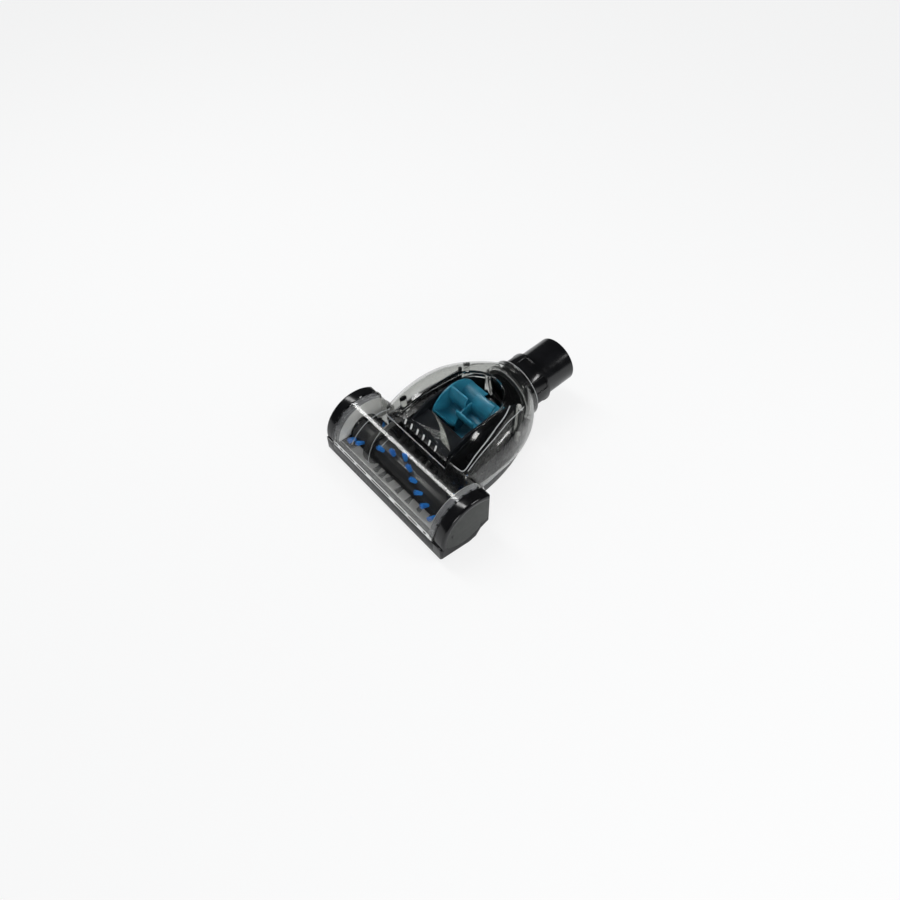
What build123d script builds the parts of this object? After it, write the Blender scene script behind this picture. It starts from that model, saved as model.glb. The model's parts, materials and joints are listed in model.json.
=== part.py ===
from build123d import *
import math
import os

# Vacuum turbo brush, built in a frame with the front lip at Y 0 and the floor at Z 0.
# X runs across the head, Y from the lip to the hose end. It is centred along Y on export.

# Head
HEAD_WIDTH = 155.0
HEAD_DEPTH = 50.4
CAP_THICKNESS = 10.4
HOOD_RADIUS = 31.2
HOOD_SETBACK = 1.1
HOOD_AXIS_Z = 18.8
SPLIT_Z = 16.0
LIP_BOTTOM_Z = 3.5
SOLE_FRONT_Y = 29.0
COVER_WALL = 2.0
BASE_WALL = 2.5
CAP_WALL = 2.2
CAP_EDGE_RADIUS = 2.4
CAP_END_WALL = 2.6
CAP_FACE_DEPTH = 0.8
CAP_FACE_RIM = 4.2
CAP_FACE_REAR = 1.4
HOOD_RIM_WIDTH = 4.5
HOOD_RIM_HEIGHT = 0.8
CHAMBER_WALL = 2.4
CHAMBER_HALF_WIDTH = 49.0
CHAMBER_TOP_Z = 41.0
END_HOLE_RADIUS = 14.0
LEDGE_DEPTH = 7.8
LEDGE_THICKNESS = 3.0

# Bell behind the head
BELL_HALF_WIDTH = 55.2
BELL_WIDEST_Y = 75.0
BELL_OVERRUN = 8.0
BELL_PLAN_POWER = 2.1
BELL_TOP_Z = 62.6
BELL_TOP_Y = 105.0
BELL_FRONT_Y = 34.0
BELL_FRONT_DROP = 24.0
BELL_FRONT_POWER = 2.2
BELL_REAR_SINK = 0.6
BELL_SHOULDER_POWER = 4.2
BELL_REAR_POWER = 2.2
BELL_WIDEST_Z = 30.0
BELL_REAR_RISE = 3.0
BELL_STATIONS = 8
BELL_REAR_GAP = 4.6
RIM_HALF_WIDTH = 51.5
RIM_WIDEST_Y = 55.0
RIM_OVERRUN = 12.0
RIM_LEDGE = 0.3
BASE_DRAFT = 3.0
HEEL_START_Y = 124.0
RIDGE_WALL = 2.0
LOW_WALL_REACH = 40.0

# Brush roll
ROLL_SETBACK = 27.5
ROLL_RADIUS = 12.5
TUFT_TIP_RADIUS = 19.3
TUFT_CLEARANCE = 0.7
TUFT_ROOT_RADIUS = 1.5
TUFT_FLARE = 1.0
TUFT_SEAT_DEPTH = 3.0
TUFT_END_GAP = 5.0
TUFTS_PER_ROW = 11
ROLL_END_GAP = 9.1
ROW_SWEEP = 91.0
BLUE_ROW_ANGLE = 88.0
AXLE_RADIUS = 2.5
BEARING_RADIUS = 8.0
BEARING_WIDTH = 5.0
BEARING_SETBACK = 1.4
CUP_WALL = 2.0
MOUTH_END_GAP = 6.1
MOUTH_FRONT_Y = 9.0
MOUTH_REAR_Y = 46.0

# Belt drive
BELT_X = -34.0
BELT_WIDTH = 5.0
BELT_THICKNESS = 1.6
BELT_CLEARANCE = 0.3
PULLEY_TEETH = 30
PINION_TEETH = 12
TOOTH_MODULE = 1.0
TOOTH_DEPTH = 0.9
BELT_SLOT_HALF_WIDTH = 4.2
BELT_SLOT_BOTTOM_Z = 8.0
WHEEL_OVERHANG = 0.5
COVER_SKIN = 1.2

# Turbine
TURBINE_Y = 97.0
TURBINE_Z = 34.5
TURBINE_RADIUS = 25.5
TURBINE_HALF_WIDTH = 21.0
TURBINE_HUB_RADIUS = 6.0
TURBINE_DISC = 1.4
CENTRE_DISC_RADIUS = 17.0
RIGHT_DISC_RADIUS = 11.0
BLADES_PER_ROW = 6
BLADE_THICKNESS = 1.5
BLADE_SAG = 4.5
LEFT_ROW_ANGLE = 38.0
SHAFT_RADIUS = 2.0
SHAFT_BEARING_RADIUS = 6.0
SHAFT_BEARING_WIDTH = 4.5
MOUNT_WALL = 2.0
BEARING_BOSS_X = 29.0
SHAFT_END_GAP = 0.5
TURBINE_AIR = 1.6
DUCT_HALF_WIDTH = 25.8
DUCT_WALL = 2.4
DUCT_FLOOR = 2.2
DECK_REAR_Y = 71.0
DECK_REAR_Z = 45.0
NOZZLE_HALF_WIDTH = 17.0
NOZZLE_BOTTOM_Z = 8.0
NOZZLE_TOP_Z = 24.0

# Window over the turbine
WINDOW_REAR_RADIUS = 27.7
WINDOW_REAR_Y = 98.8
WINDOW_ARCH = 115.0
WINDOW_FRONT_Y = 38.0
WINDOW_FRONT_Z = 49.5
WINDOW_FOOT_Y = 42.3
WINDOW_FOOT_Z = 48.9
WINDOW_BROW_Y = 46.0
WINDOW_BROW_Z = 57.6
WINDOW_CROWN_Y = 98.0
WINDOW_TOP_Z = 64.2
WINDOW_TAIL_Z = 61.4
WINDOW_WALL = 1.8
WINDOW_FACE_SHIFT = 0.7
WINDOW_SKIRT = 3.0
WINDOW_GAP = 0.2
SLOT_COUNT = 6
SLOT_PITCH = 7.6
SLOT_WIDTH = 3.0
SLOT_LENGTH = 6.6
SLOT_START = 0.5

# Neck
NECK_FACE_Y = 151.6
NECK_Z = 34.6
NECK_TILT = 4.5
NECK_SEAT_RADIUS = 27.1
NECK_SEAT_LENGTH = 13.0
NECK_HUB_RADIUS = 24.5
NECK_BEARING_GAP = 0.08
NECK_HUB_DEPTH = 9.5
GROOVE_DEPTH = 2.0
GROOVE_WIDTH = 3.0
GROOVE_START = 4.0
GROOVE_GAP = 0.3
NECK_BORE_RADIUS = 17.5
NECK_TUBE_RADIUS = 20.8
NECK_TUBE_LENGTH = 50.0
NECK_MOUTH_RADIUS = 1.2
COLLAR_RADIUS = 23.7
COLLAR_START = 0.6
COLLAR_LENGTH = 17.5
COLLAR_PADS = 6
PAD_DEPTH = 0.9
PAD_WIDTH = 13.0
PAD_MARGIN = 2.5
SEAL_THICKNESS = 2.0
SEAL_WALL = 4.0

# Screws
SCREW_FRONT_X = 42.4
SCREW_FRONT_Y = 60.0
SCREW_REAR_X = 33.0
SCREW_REAR_Y = 122.0
SCREW_RADIUS = 1.25
SCREW_HEAD_RADIUS = 2.4
SCREW_HEAD_HEIGHT = 2.2
SCREW_SINK = 2.0
SCREW_GRIP = 11.0
POST_RADIUS = 3.0
BOSS_RADIUS = 3.6
RECESS_LENGTH = 3.0
RECESS_WIDTH = 0.8

# Clearances
FACE_GAP = 0.1
FIT_GAP = 0.05
RUN_GAP = 0.3

HALF_WIDTH = HEAD_WIDTH / 2
CAP_INNER_X = HALF_WIDTH - CAP_THICKNESS
SHELL_END_X = CAP_INNER_X - FACE_GAP
HOOD_AXIS_Y = HOOD_SETBACK + HOOD_RADIUS
ROLL_HALF_LENGTH = CAP_INNER_X - ROLL_END_GAP
MOUTH_HALF_LENGTH = CAP_INNER_X - MOUTH_END_GAP
TUFT_PITCH = 2 * (ROLL_HALF_LENGTH - TUFT_END_GAP) / (TUFTS_PER_ROW - 1)
ROLL_Z = TUFT_TIP_RADIUS + TUFT_CLEARANCE
BLACK_ROW_ANGLE = BLUE_ROW_ANGLE + 90
CUP_RADIUS = BEARING_RADIUS + FIT_GAP + CUP_WALL
BEARING_END_X = HALF_WIDTH - CAP_END_WALL - BEARING_SETBACK
MOUNT_RADIUS = SHAFT_BEARING_RADIUS + FIT_GAP + MOUNT_WALL
HEEL_RISE = NECK_Z - NECK_SEAT_RADIUS
BELL_REAR_Y = NECK_FACE_Y - BELL_REAR_GAP
BELL_REACH = BELL_REAR_Y - BELL_WIDEST_Y + BELL_OVERRUN
RIM_REACH = BELL_REAR_Y - RIM_WIDEST_Y + RIM_OVERRUN
BELT_AIR = BELT_THICKNESS + 2 * RUN_GAP
BELT_COVER_INNER = BELT_WIDTH / 2 + WHEEL_OVERHANG + RUN_GAP
BELT_COVER_OUTER = BELT_COVER_INNER + COVER_SKIN
REACH_Z = 2 * BELL_TOP_Z


def box(x0, x1, y0, y1, z0, z1):
    return Pos((x0 + x1) / 2, (y0 + y1) / 2, (z0 + z1) / 2) * Box(x1 - x0, y1 - y0, z1 - z0)


def rod_x(radius, x0, x1, y, z):
    return Pos((x0 + x1) / 2, y, z) * Rot(0, 90, 0) * Cylinder(radius, x1 - x0)


def ring_x(outer, inner, x0, x1, y, z):
    return rod_x(outer, x0, x1, y, z) - rod_x(inner, x0 - 1, x1 + 1, y, z)


def side_plane(x):
    return Plane(origin=(x, 0, 0), x_dir=(0, 1, 0), z_dir=(1, 0, 0))


def cross_plane(y):
    return Plane(origin=(0, y, 0), x_dir=(1, 0, 0), z_dir=(0, -1, 0))


def rectangle(x0, x1, y0, y1):
    return Pos((x0 + x1) / 2, (y0 + y1) / 2) * Rectangle(x1 - x0, y1 - y0)


def outline(*points):
    return make_face(Polyline(*points, close=True))


def mirrored(shape):
    return mirror(shape, Plane.YZ)


def along_neck(s):
    tilt = math.radians(NECK_TILT)
    direction = (0, math.cos(tilt), math.sin(tilt))
    origin = (0, NECK_FACE_Y + s * direction[1], NECK_Z + s * direction[2])
    return Plane(origin=origin, x_dir=(1, 0, 0), z_dir=direction)


def neck_rod(radius, s0, s1):
    return extrude(along_neck(s0) * Circle(radius), s1 - s0)


def hood_outline(inset):
    disc = Pos(HOOD_AXIS_Y, HOOD_AXIS_Z) * Circle(HOOD_RADIUS - inset)
    return disc & rectangle(0, HEAD_DEPTH - inset, SPLIT_Z, REACH_Z)


def foot_outline(inset, heel):
    return outline(
        (inset, SPLIT_Z),
        (inset, LIP_BOTTOM_Z + inset),
        (SOLE_FRONT_Y, inset),
        *[(y, z + inset) for y, z in heel],
        (HEAD_DEPTH - inset, SPLIT_Z),
    )


CAP_HEEL = [(36.9, 1.7), (42.0, 8.5), (HEAD_DEPTH, 12.0)]


def head_outline(inset):
    heel = [(min(y, HEAD_DEPTH - inset), z) for y, z in CAP_HEEL]
    return hood_outline(inset) + foot_outline(inset, heel)


def hood(inset, half_length):
    return extrude(side_plane(-half_length) * hood_outline(inset), 2 * half_length)


def bell_half_width(y):
    share = abs(y - BELL_WIDEST_Y) / BELL_REACH
    return BELL_HALF_WIDTH * (1 - share ** BELL_PLAN_POWER) ** (1 / BELL_PLAN_POWER)


def rim_half_width(y):
    return RIM_HALF_WIDTH * math.sqrt(1 - ((y - RIM_WIDEST_Y) / RIM_REACH) ** 2)


def bell_top(y):
    if y < BELL_TOP_Y:
        share = (BELL_TOP_Y - y) / (BELL_TOP_Y - BELL_FRONT_Y)
        return BELL_TOP_Z - BELL_FRONT_DROP * share ** BELL_FRONT_POWER
    share = (y - BELL_TOP_Y) / (BELL_REAR_Y - BELL_TOP_Y)
    seat_top = NECK_Z + NECK_SEAT_RADIUS - FACE_GAP
    return BELL_TOP_Z - (BELL_TOP_Z - seat_top + BELL_REAR_SINK) * share ** 2


def bell_section(y, inset, bottom):
    width = bell_half_width(y) - inset
    rim = rim_half_width(y) - inset
    top = bell_top(y) - inset
    share = max(0.0, (y - BELL_TOP_Y) / (BELL_REAR_Y - BELL_TOP_Y))
    power = BELL_SHOULDER_POWER + (BELL_REAR_POWER - BELL_SHOULDER_POWER) * share
    waist = BELL_WIDEST_Z + BELL_REAR_RISE * share
    width = max(width, rim + RIM_LEDGE)
    side = []
    for step in range(3):
        rise = step / 3
        side.append((rim + (width - rim) * math.sin(rise * math.pi / 2), bottom + (waist - bottom) * rise))
    for step in range(9):
        angle = step * math.pi / 16
        x = width * math.cos(angle) ** (2 / power) if step < 8 else 0.0
        side.append((x, waist + (top - waist) * math.sin(angle) ** (2 / power)))
    points = side + [(-x, z) for x, z in reversed(side[:-1])]
    edges = Spline(*points) + Line(points[-1], points[0])
    return cross_plane(y) * make_face(edges)


def bell(inset, bottom=SPLIT_Z):
    first = BELL_FRONT_Y + inset
    last = BELL_REAR_Y - inset
    shares = [(step / BELL_STATIONS) ** 0.85 for step in range(BELL_STATIONS + 1)]
    stations = [first + (last - first) * share for share in shares]
    return loft([bell_section(y, inset, bottom) for y in stations])


def bell_plan(inset):
    body = Pos(0, RIM_WIDEST_Y) * Ellipse(RIM_HALF_WIDTH - inset, RIM_REACH - inset)
    return body & rectangle(-HEAD_WIDTH, HEAD_WIDTH, BELL_FRONT_Y + inset, BELL_REAR_Y - inset)


def heel_wedge(lift):
    return extrude(
        side_plane(-HEAD_WIDTH) * outline(
            (HEEL_START_Y, lift),
            (HEEL_START_Y, lift - HEEL_RISE),
            (2 * NECK_FACE_Y, lift - HEEL_RISE),
            (2 * NECK_FACE_Y, lift + HEEL_RISE),
            (BELL_REAR_Y, lift + HEEL_RISE),
        ),
        2 * HEAD_WIDTH,
    )


def bell_foot(inset, bottom):
    low = Pos(0, 0, bottom) * bell_plan(inset + BASE_DRAFT * (1 - bottom / SPLIT_Z))
    high = Pos(0, 0, SPLIT_Z) * bell_plan(inset)
    return loft([low.face(), high.face()]) - heel_wedge(bottom)


def below_split(shape):
    return shape & box(-HEAD_WIDTH, HEAD_WIDTH, -1, 2 * NECK_FACE_Y, -1, SPLIT_Z)


def above_split(shape):
    return shape & box(-HEAD_WIDTH, HEAD_WIDTH, -1, 2 * NECK_FACE_Y, SPLIT_Z, REACH_Z)


def neck_ring(outer, inner, s0, s1):
    return neck_rod(outer, s0, s1) - neck_rod(inner, s0 - 1, s1 + 1)


def neck_seat():
    return neck_rod(NECK_SEAT_RADIUS, -NECK_SEAT_LENGTH, 0)


def neck_cavity():
    bore = NECK_HUB_RADIUS + NECK_BEARING_GAP
    space = neck_rod(bore, -NECK_HUB_DEPTH - SEAL_THICKNESS - 2 * FACE_GAP, 1)
    rib_start = -GROOVE_START - GROOVE_WIDTH + GROOVE_GAP
    rib_end = -GROOVE_START - GROOVE_GAP
    rib = neck_ring(bore + 1, NECK_HUB_RADIUS - GROOVE_DEPTH + GROOVE_GAP, rib_start, rib_end)
    return space - rib + neck_rod(NECK_TUBE_RADIUS, -NECK_SEAT_LENGTH - 1, 0)


WINDOW_SIDE = [(45.0, 33.2), (50.0, 31.4), (66.0, 31.4), (WINDOW_REAR_Y, WINDOW_REAR_RADIUS)]
WINDOW_FRONT_HALF_WIDTH = 37.0


def window_plan(inset):
    side = [(WINDOW_FRONT_HALF_WIDTH - inset, WINDOW_FRONT_Y + inset)]
    side += [(x - inset, y) for y, x in WINDOW_SIDE]
    other = [(-x, y) for x, y in reversed(side)]
    return outline(*side, *other) + Pos(0, WINDOW_REAR_Y) * Circle(WINDOW_REAR_RADIUS - inset)


def window_rise(inset):
    """The side view of the dome: a flange on the hood, a steep face with the slots, then the roof."""
    back = inset * WINDOW_FACE_SHIFT
    front = (WINDOW_FRONT_Y - WINDOW_SKIRT, WINDOW_FRONT_Z - inset)
    foot = (WINDOW_FOOT_Y + back, WINDOW_FOOT_Z - inset)
    brow = (WINDOW_BROW_Y + back, WINDOW_BROW_Z - inset)
    tail = (NECK_FACE_Y, WINDOW_TAIL_Z - inset)
    roof = ThreePointArc(brow, (WINDOW_CROWN_Y, WINDOW_TOP_Z - inset), tail)
    sides = Polyline(tail, (NECK_FACE_Y, SPLIT_Z), (front[0], SPLIT_Z), front, foot, brow)
    return make_face(roof + sides)


def window_dome(inset):
    tall = extrude(window_plan(inset), REACH_Z)
    rise = extrude(side_plane(-HEAD_WIDTH) * window_rise(inset), 2 * HEAD_WIDTH)
    crown = Pos(0, WINDOW_TOP_Z - inset - WINDOW_ARCH) * Circle(WINDOW_ARCH)
    return tall & rise & extrude(cross_plane(0) * crown, -2 * NECK_FACE_Y)


def window_slots():
    slope = math.atan2(WINDOW_BROW_Z - WINDOW_FOOT_Z, WINDOW_BROW_Y - WINDOW_FOOT_Y)
    reach = SLOT_START + SLOT_LENGTH / 2
    middle = (0, WINDOW_FOOT_Y + reach * math.cos(slope), WINDOW_FOOT_Z + reach * math.sin(slope))
    face = Plane(origin=middle, x_dir=(1, 0, 0), z_dir=(0, -math.sin(slope), math.cos(slope)))
    slots = Sketch()
    for index in range(SLOT_COUNT):
        x = (index - (SLOT_COUNT - 1) / 2) * SLOT_PITCH
        slots += Pos(x, 0) * Rot(0, 0, 90) * SlotOverall(SLOT_LENGTH, SLOT_WIDTH)
    return extrude(face * slots, 2 * WINDOW_WALL, both=True)


def screw_places():
    places = []
    for side in (-1, 1):
        places.append((side * SCREW_FRONT_X, SCREW_FRONT_Y))
        places.append((side * SCREW_REAR_X, SCREW_REAR_Y))
    return places


def upright(radius, x, y, z0, z1):
    return Pos(x, y, (z0 + z1) / 2) * Cylinder(radius, z1 - z0)


def top_cover():
    rim = hood(-HOOD_RIM_HEIGHT, SHELL_END_X) - hood(-2 * HOOD_RIM_HEIGHT, SHELL_END_X - HOOD_RIM_WIDTH)
    outer = hood(0, SHELL_END_X) + rim + BELL_OUTER + above_split(neck_seat())
    inner = hood(COVER_WALL, SHELL_END_X - COVER_WALL) + (BELL_INNER - neck_seat())
    shell = outer - inner
    for x, y in screw_places():
        post = upright(POST_RADIUS, x, y, SPLIT_Z, REACH_Z) & BELL_OUTER
        shell += post - upright(SCREW_RADIUS + FIT_GAP, x, y, 0, SPLIT_Z + SCREW_GRIP + 1)
    shell -= neck_cavity()
    shell -= rod_x(END_HOLE_RADIUS, -HALF_WIDTH, HALF_WIDTH, ROLL_SETBACK, ROLL_Z)
    shell -= Pos(0, 0, SPLIT_Z) * extrude(window_plan(-WINDOW_GAP), REACH_Z)
    return shell


def turbine_window():
    shell = window_dome(0) - window_dome(WINDOW_WALL)
    shell -= BELL_SKIRT
    shell -= hood(WINDOW_SKIRT, SHELL_END_X)
    return shell - window_slots()


LOW_WALL_LINE = [(45.0, 31.8), (113.0, 54.8)]


def above_low_wall(reach):
    """The space over the sloping top of the left wall, outside a distance from the middle."""
    (y0, z0), (y1, z1) = LOW_WALL_LINE
    side = outline((y0, z0), (y1, z1), (y1, REACH_Z), (y0, REACH_Z))
    return extrude(side_plane(-HEAD_WIDTH) * side, HEAD_WIDTH - reach)


def chamber_wall():
    """The black wall behind the roll. Above the split it stays inside the clear bell."""
    y0 = HEAD_DEPTH - CHAMBER_WALL
    low = box(-SHELL_END_X, SHELL_END_X, y0, HEAD_DEPTH, 0, SPLIT_Z)
    high = box(-CHAMBER_HALF_WIDTH, CHAMBER_HALF_WIDTH, y0, HEAD_DEPTH, SPLIT_Z, CHAMBER_TOP_Z)
    return low + ((high & BELL_CLEAR) - above_low_wall(LOW_WALL_REACH))


def nozzle_hole():
    w = NOZZLE_HALF_WIDTH
    y0 = HEAD_DEPTH - 2 * CHAMBER_WALL
    y1 = HEAD_DEPTH + 2 * DUCT_WALL
    return box(-w, w, y0, y1, NOZZLE_BOTTOM_Z, NOZZLE_TOP_Z)


RIDGE_LINE = [(49.0, 49.1), (60.0, 47.8), (70.0, 46.4), (78.0, 45.0), (86.0, 42.4), (94.0, 39.5),
              (102.0, 36.9), (108.0, 35.1), (115.0, 33.0)]


def belt_room():
    """The space that the belt's cover takes behind the chamber wall."""
    half = BELT_COVER_OUTER + RUN_GAP
    behind_wall = rectangle(HEAD_DEPTH, NECK_FACE_Y, 0, REACH_Z)
    profile = belt_outline(BELT_AIR + COVER_SKIN + RUN_GAP) & behind_wall
    return extrude(side_plane(BELT_X - half) * profile, 2 * half)


def ridge_walls():
    """Black walls on both sides of the drive. The left one stops below the clear bell."""
    outer = [(x, y) for y, x in RIDGE_LINE]
    inner = [(x - RIDGE_WALL, y) for x, y in reversed(outer)]
    band = outline(*outer, *inner)
    low = extrude(Pos(0, 0, BASE_WALL / 2) * band, SPLIT_Z - BASE_WALL / 2) & BASE_FOOT
    high = extrude(Pos(0, 0, SPLIT_Z) * band, REACH_Z) & BELL_CLEAR
    wall = low + high
    return wall + (mirrored(wall) - above_low_wall(0)) - belt_room()


def base_housing():
    front = foot_outline(0, [(HEAD_DEPTH, 0.0)])
    hollow = foot_outline(BASE_WALL, [(HEAD_DEPTH - BASE_WALL, 0.0)])
    outer = extrude(side_plane(-SHELL_END_X) * front, 2 * SHELL_END_X) + BASE_FOOT
    outer += below_split(neck_seat())
    chamber_end = SHELL_END_X - BASE_WALL
    chamber = extrude(side_plane(-chamber_end) * hollow, 2 * chamber_end)
    in_front = box(-HEAD_WIDTH, HEAD_WIDTH, 0, HEAD_DEPTH, 0, SPLIT_Z)
    room = bell_foot(BASE_WALL, BASE_WALL) - in_front - neck_seat()
    shell = outer - chamber - room + chamber_wall() + ridge_walls()
    shell += box(-chamber_end, chamber_end, BASE_WALL / 2, LEDGE_DEPTH, SPLIT_Z - LEDGE_THICKNESS, SPLIT_Z)
    for x, y in screw_places():
        boss = upright(BOSS_RADIUS, x, y, 0, SPLIT_Z) & BASE_FOOT
        shell += boss
        shell -= upright(SCREW_HEAD_RADIUS + RUN_GAP, x, y, -1, SCREW_SINK + SCREW_HEAD_HEIGHT)
        shell -= upright(SCREW_RADIUS + FIT_GAP, x, y, -1, SPLIT_Z + 1)
    shell -= neck_cavity()
    shell -= rod_x(END_HOLE_RADIUS, -HALF_WIDTH, -chamber_end + FACE_GAP, ROLL_SETBACK, ROLL_Z)
    shell -= rod_x(END_HOLE_RADIUS, chamber_end - FACE_GAP, HALF_WIDTH, ROLL_SETBACK, ROLL_Z)
    shell -= box(-MOUTH_HALF_LENGTH, MOUTH_HALF_LENGTH, MOUTH_FRONT_Y, MOUTH_REAR_Y, -1, 2 * BASE_WALL)
    shell -= nozzle_hole()
    slot = box(-BELT_SLOT_HALF_WIDTH, BELT_SLOT_HALF_WIDTH, HEAD_DEPTH - 2 * CHAMBER_WALL, HEAD_DEPTH + 1,
               BELT_SLOT_BOTTOM_Z, REACH_Z)
    return shell - Pos(BELT_X, 0, 0) * slot


FACE_WAVE = [(7.5, 13.3), (14.5, 9.2), (21.7, 7.2), (30.0, 7.8), (37.0, 10.5), (43.0, 14.2), (45.5, 16.0)]


def cap_face_outline(inset):
    rim = CAP_FACE_RIM + inset
    disc = Pos(HOOD_AXIS_Y, HOOD_AXIS_Z) * Circle(HOOD_RADIUS - rim)
    upper = disc & rectangle(0, HEAD_DEPTH - CAP_FACE_REAR - inset, SPLIT_Z + inset, REACH_Z)
    half_chord = math.sqrt((HOOD_RADIUS - rim) ** 2 - (SPLIT_Z - HOOD_AXIS_Z) ** 2)
    start = (HOOD_AXIS_Y - half_chord, SPLIT_Z + inset)
    wave = [(y, z + inset) for y, z in FACE_WAVE]
    return upper + outline(start, *wave)


def cap_face(side):
    plate = extrude(side_plane(HALF_WIDTH - CAP_FACE_DEPTH) * cap_face_outline(FIT_GAP), CAP_FACE_DEPTH)
    return plate if side > 0 else mirrored(plate)


def end_cap(side):
    block = extrude(side_plane(CAP_INNER_X) * head_outline(0), CAP_THICKNESS)
    outer_edges = block.faces().sort_by(Axis.X)[-1].edges()
    block = fillet(outer_edges, CAP_EDGE_RADIUS)
    hollow = extrude(side_plane(CAP_INNER_X) * head_outline(CAP_WALL), CAP_THICKNESS - CAP_END_WALL)
    socket_end = HALF_WIDTH - CAP_END_WALL
    socket = rod_x(CUP_RADIUS + FIT_GAP + CAP_WALL, CAP_INNER_X, socket_end, ROLL_SETBACK, ROLL_Z)
    cap = block - (hollow - socket)
    cap -= rod_x(CUP_RADIUS + FIT_GAP, CAP_INNER_X - 1, socket_end, ROLL_SETBACK, ROLL_Z)
    cap -= extrude(side_plane(HALF_WIDTH - CAP_FACE_DEPTH) * cap_face_outline(0), CAP_FACE_DEPTH + 1)
    return cap if side > 0 else mirrored(cap)


def bearing_cup(side):
    x0 = CAP_INNER_X + FACE_GAP
    x1 = HALF_WIDTH - CAP_END_WALL
    cup = rod_x(CUP_RADIUS, x0, x1, ROLL_SETBACK, ROLL_Z)
    cup -= rod_x(BEARING_RADIUS + FIT_GAP, x0 - 1, BEARING_END_X, ROLL_SETBACK, ROLL_Z)
    cup -= rod_x(AXLE_RADIUS + 1, x0, x1 + 1, ROLL_SETBACK, ROLL_Z)
    return cup if side > 0 else mirrored(cup)


def brush_bearing(side):
    ring = ring_x(BEARING_RADIUS, AXLE_RADIUS + FIT_GAP, BEARING_END_X - BEARING_WIDTH, BEARING_END_X,
                  ROLL_SETBACK, ROLL_Z)
    return ring if side > 0 else mirrored(ring)


def brush_axle():
    end = HALF_WIDTH - CAP_END_WALL - 1
    return rod_x(AXLE_RADIUS, -end, end, ROLL_SETBACK, ROLL_Z)


def tuft_places(start_angle):
    """Two rows half a turn apart, each a shallow V along the roll, with room left for the belt."""
    places = []
    for row in range(2):
        for index in range(TUFTS_PER_ROW):
            x = (index - (TUFTS_PER_ROW - 1) / 2) * TUFT_PITCH
            angle = start_angle + 180 * row + ROW_SWEEP * abs(x) / ROLL_HALF_LENGTH
            if abs(x - BELT_X) > BELT_WIDTH:
                places.append((x, angle))
    return places


def standing(shape, x, angle):
    """Put a shape made along +Z from the roll's axis at a place on the roll."""
    return Pos(x, ROLL_SETBACK, ROLL_Z) * Rot(angle - 90, 0, 0) * shape


def tuft(x, angle):
    seat = ROLL_RADIUS - TUFT_SEAT_DEPTH
    root = Pos(0, 0, (seat + ROLL_RADIUS) / 2) * Cylinder(TUFT_ROOT_RADIUS, ROLL_RADIUS - seat)
    length = TUFT_TIP_RADIUS - ROLL_RADIUS
    cone = Cone(TUFT_ROOT_RADIUS, TUFT_ROOT_RADIUS + TUFT_FLARE, length)
    flare = Pos(0, 0, ROLL_RADIUS + length / 2) * cone
    return standing(root + flare, x, angle)


def tufts(start_angle):
    return Compound([tuft(x, angle).solid() for x, angle in tuft_places(start_angle)])


def brush_tube():
    bore = AXLE_RADIUS + FIT_GAP
    tube = ring_x(ROLL_RADIUS, bore, -ROLL_HALF_LENGTH, ROLL_HALF_LENGTH, ROLL_SETBACK, ROLL_Z)
    seat = ROLL_RADIUS - TUFT_SEAT_DEPTH
    hole = Pos(0, 0, seat - FIT_GAP + ROLL_RADIUS / 2) * Cylinder(TUFT_ROOT_RADIUS + FIT_GAP, ROLL_RADIUS)
    places = tuft_places(BLUE_ROW_ANGLE) + tuft_places(BLACK_ROW_ANGLE)
    return tube - [standing(hole, x, angle) for x, angle in places]


def toothed_outline(teeth):
    radius = TOOTH_MODULE * teeth / 2
    wheel = Circle(radius - TOOTH_DEPTH)
    width = math.pi * TOOTH_MODULE / 2
    tooth = Pos(radius - TOOTH_DEPTH, 0) * Rectangle(2 * TOOTH_DEPTH, width)
    for index in range(teeth):
        wheel += Rot(0, 0, 360 * index / teeth) * tooth
    return wheel & Circle(radius)


def toothed_wheel(teeth, bore, y, z):
    half = BELT_WIDTH / 2 + WHEEL_OVERHANG
    outline_2d = Pos(y, z) * (toothed_outline(teeth) - Circle(bore))
    return extrude(side_plane(BELT_X - half) * outline_2d, 2 * half)


def belt_outline(extra):
    """A loop round both wheels: two circles and the block between their outer tangents."""
    y0, z0, r0 = ROLL_SETBACK, ROLL_Z, TOOTH_MODULE * PULLEY_TEETH / 2 + BELT_CLEARANCE + extra
    y1, z1, r1 = TURBINE_Y, TURBINE_Z, TOOTH_MODULE * PINION_TEETH / 2 + BELT_CLEARANCE + extra
    lean = math.atan2(z1 - z0, y1 - y0)
    spread = math.acos((r0 - r1) / math.hypot(y1 - y0, z1 - z0))
    points = []
    for y, z, r, side in ((y0, z0, r0, 1), (y1, z1, r1, 1), (y1, z1, r1, -1), (y0, z0, r0, -1)):
        angle = lean + side * spread
        points.append((y + r * math.cos(angle), z + r * math.sin(angle)))
    return outline(*points) + Pos(y0, z0) * Circle(r0) + Pos(y1, z1) * Circle(r1)


def drive_belt():
    loop = belt_outline(BELT_THICKNESS) - belt_outline(0)
    return extrude(side_plane(BELT_X - BELT_WIDTH / 2) * loop, BELT_WIDTH)


def belt_cover():
    behind_wall = rectangle(HEAD_DEPTH + FACE_GAP, NECK_FACE_Y, 0, REACH_Z)
    profile = belt_outline(BELT_AIR + COVER_SKIN) & behind_wall
    cover = extrude(side_plane(BELT_X - BELT_COVER_OUTER) * profile, 2 * BELT_COVER_OUTER)
    cover -= extrude(side_plane(BELT_X - BELT_COVER_INNER) * belt_outline(BELT_AIR), 2 * BELT_COVER_INNER)
    return cover - rod_x(SHAFT_RADIUS + 1, BELT_X, 0, TURBINE_Y, TURBINE_Z)


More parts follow.
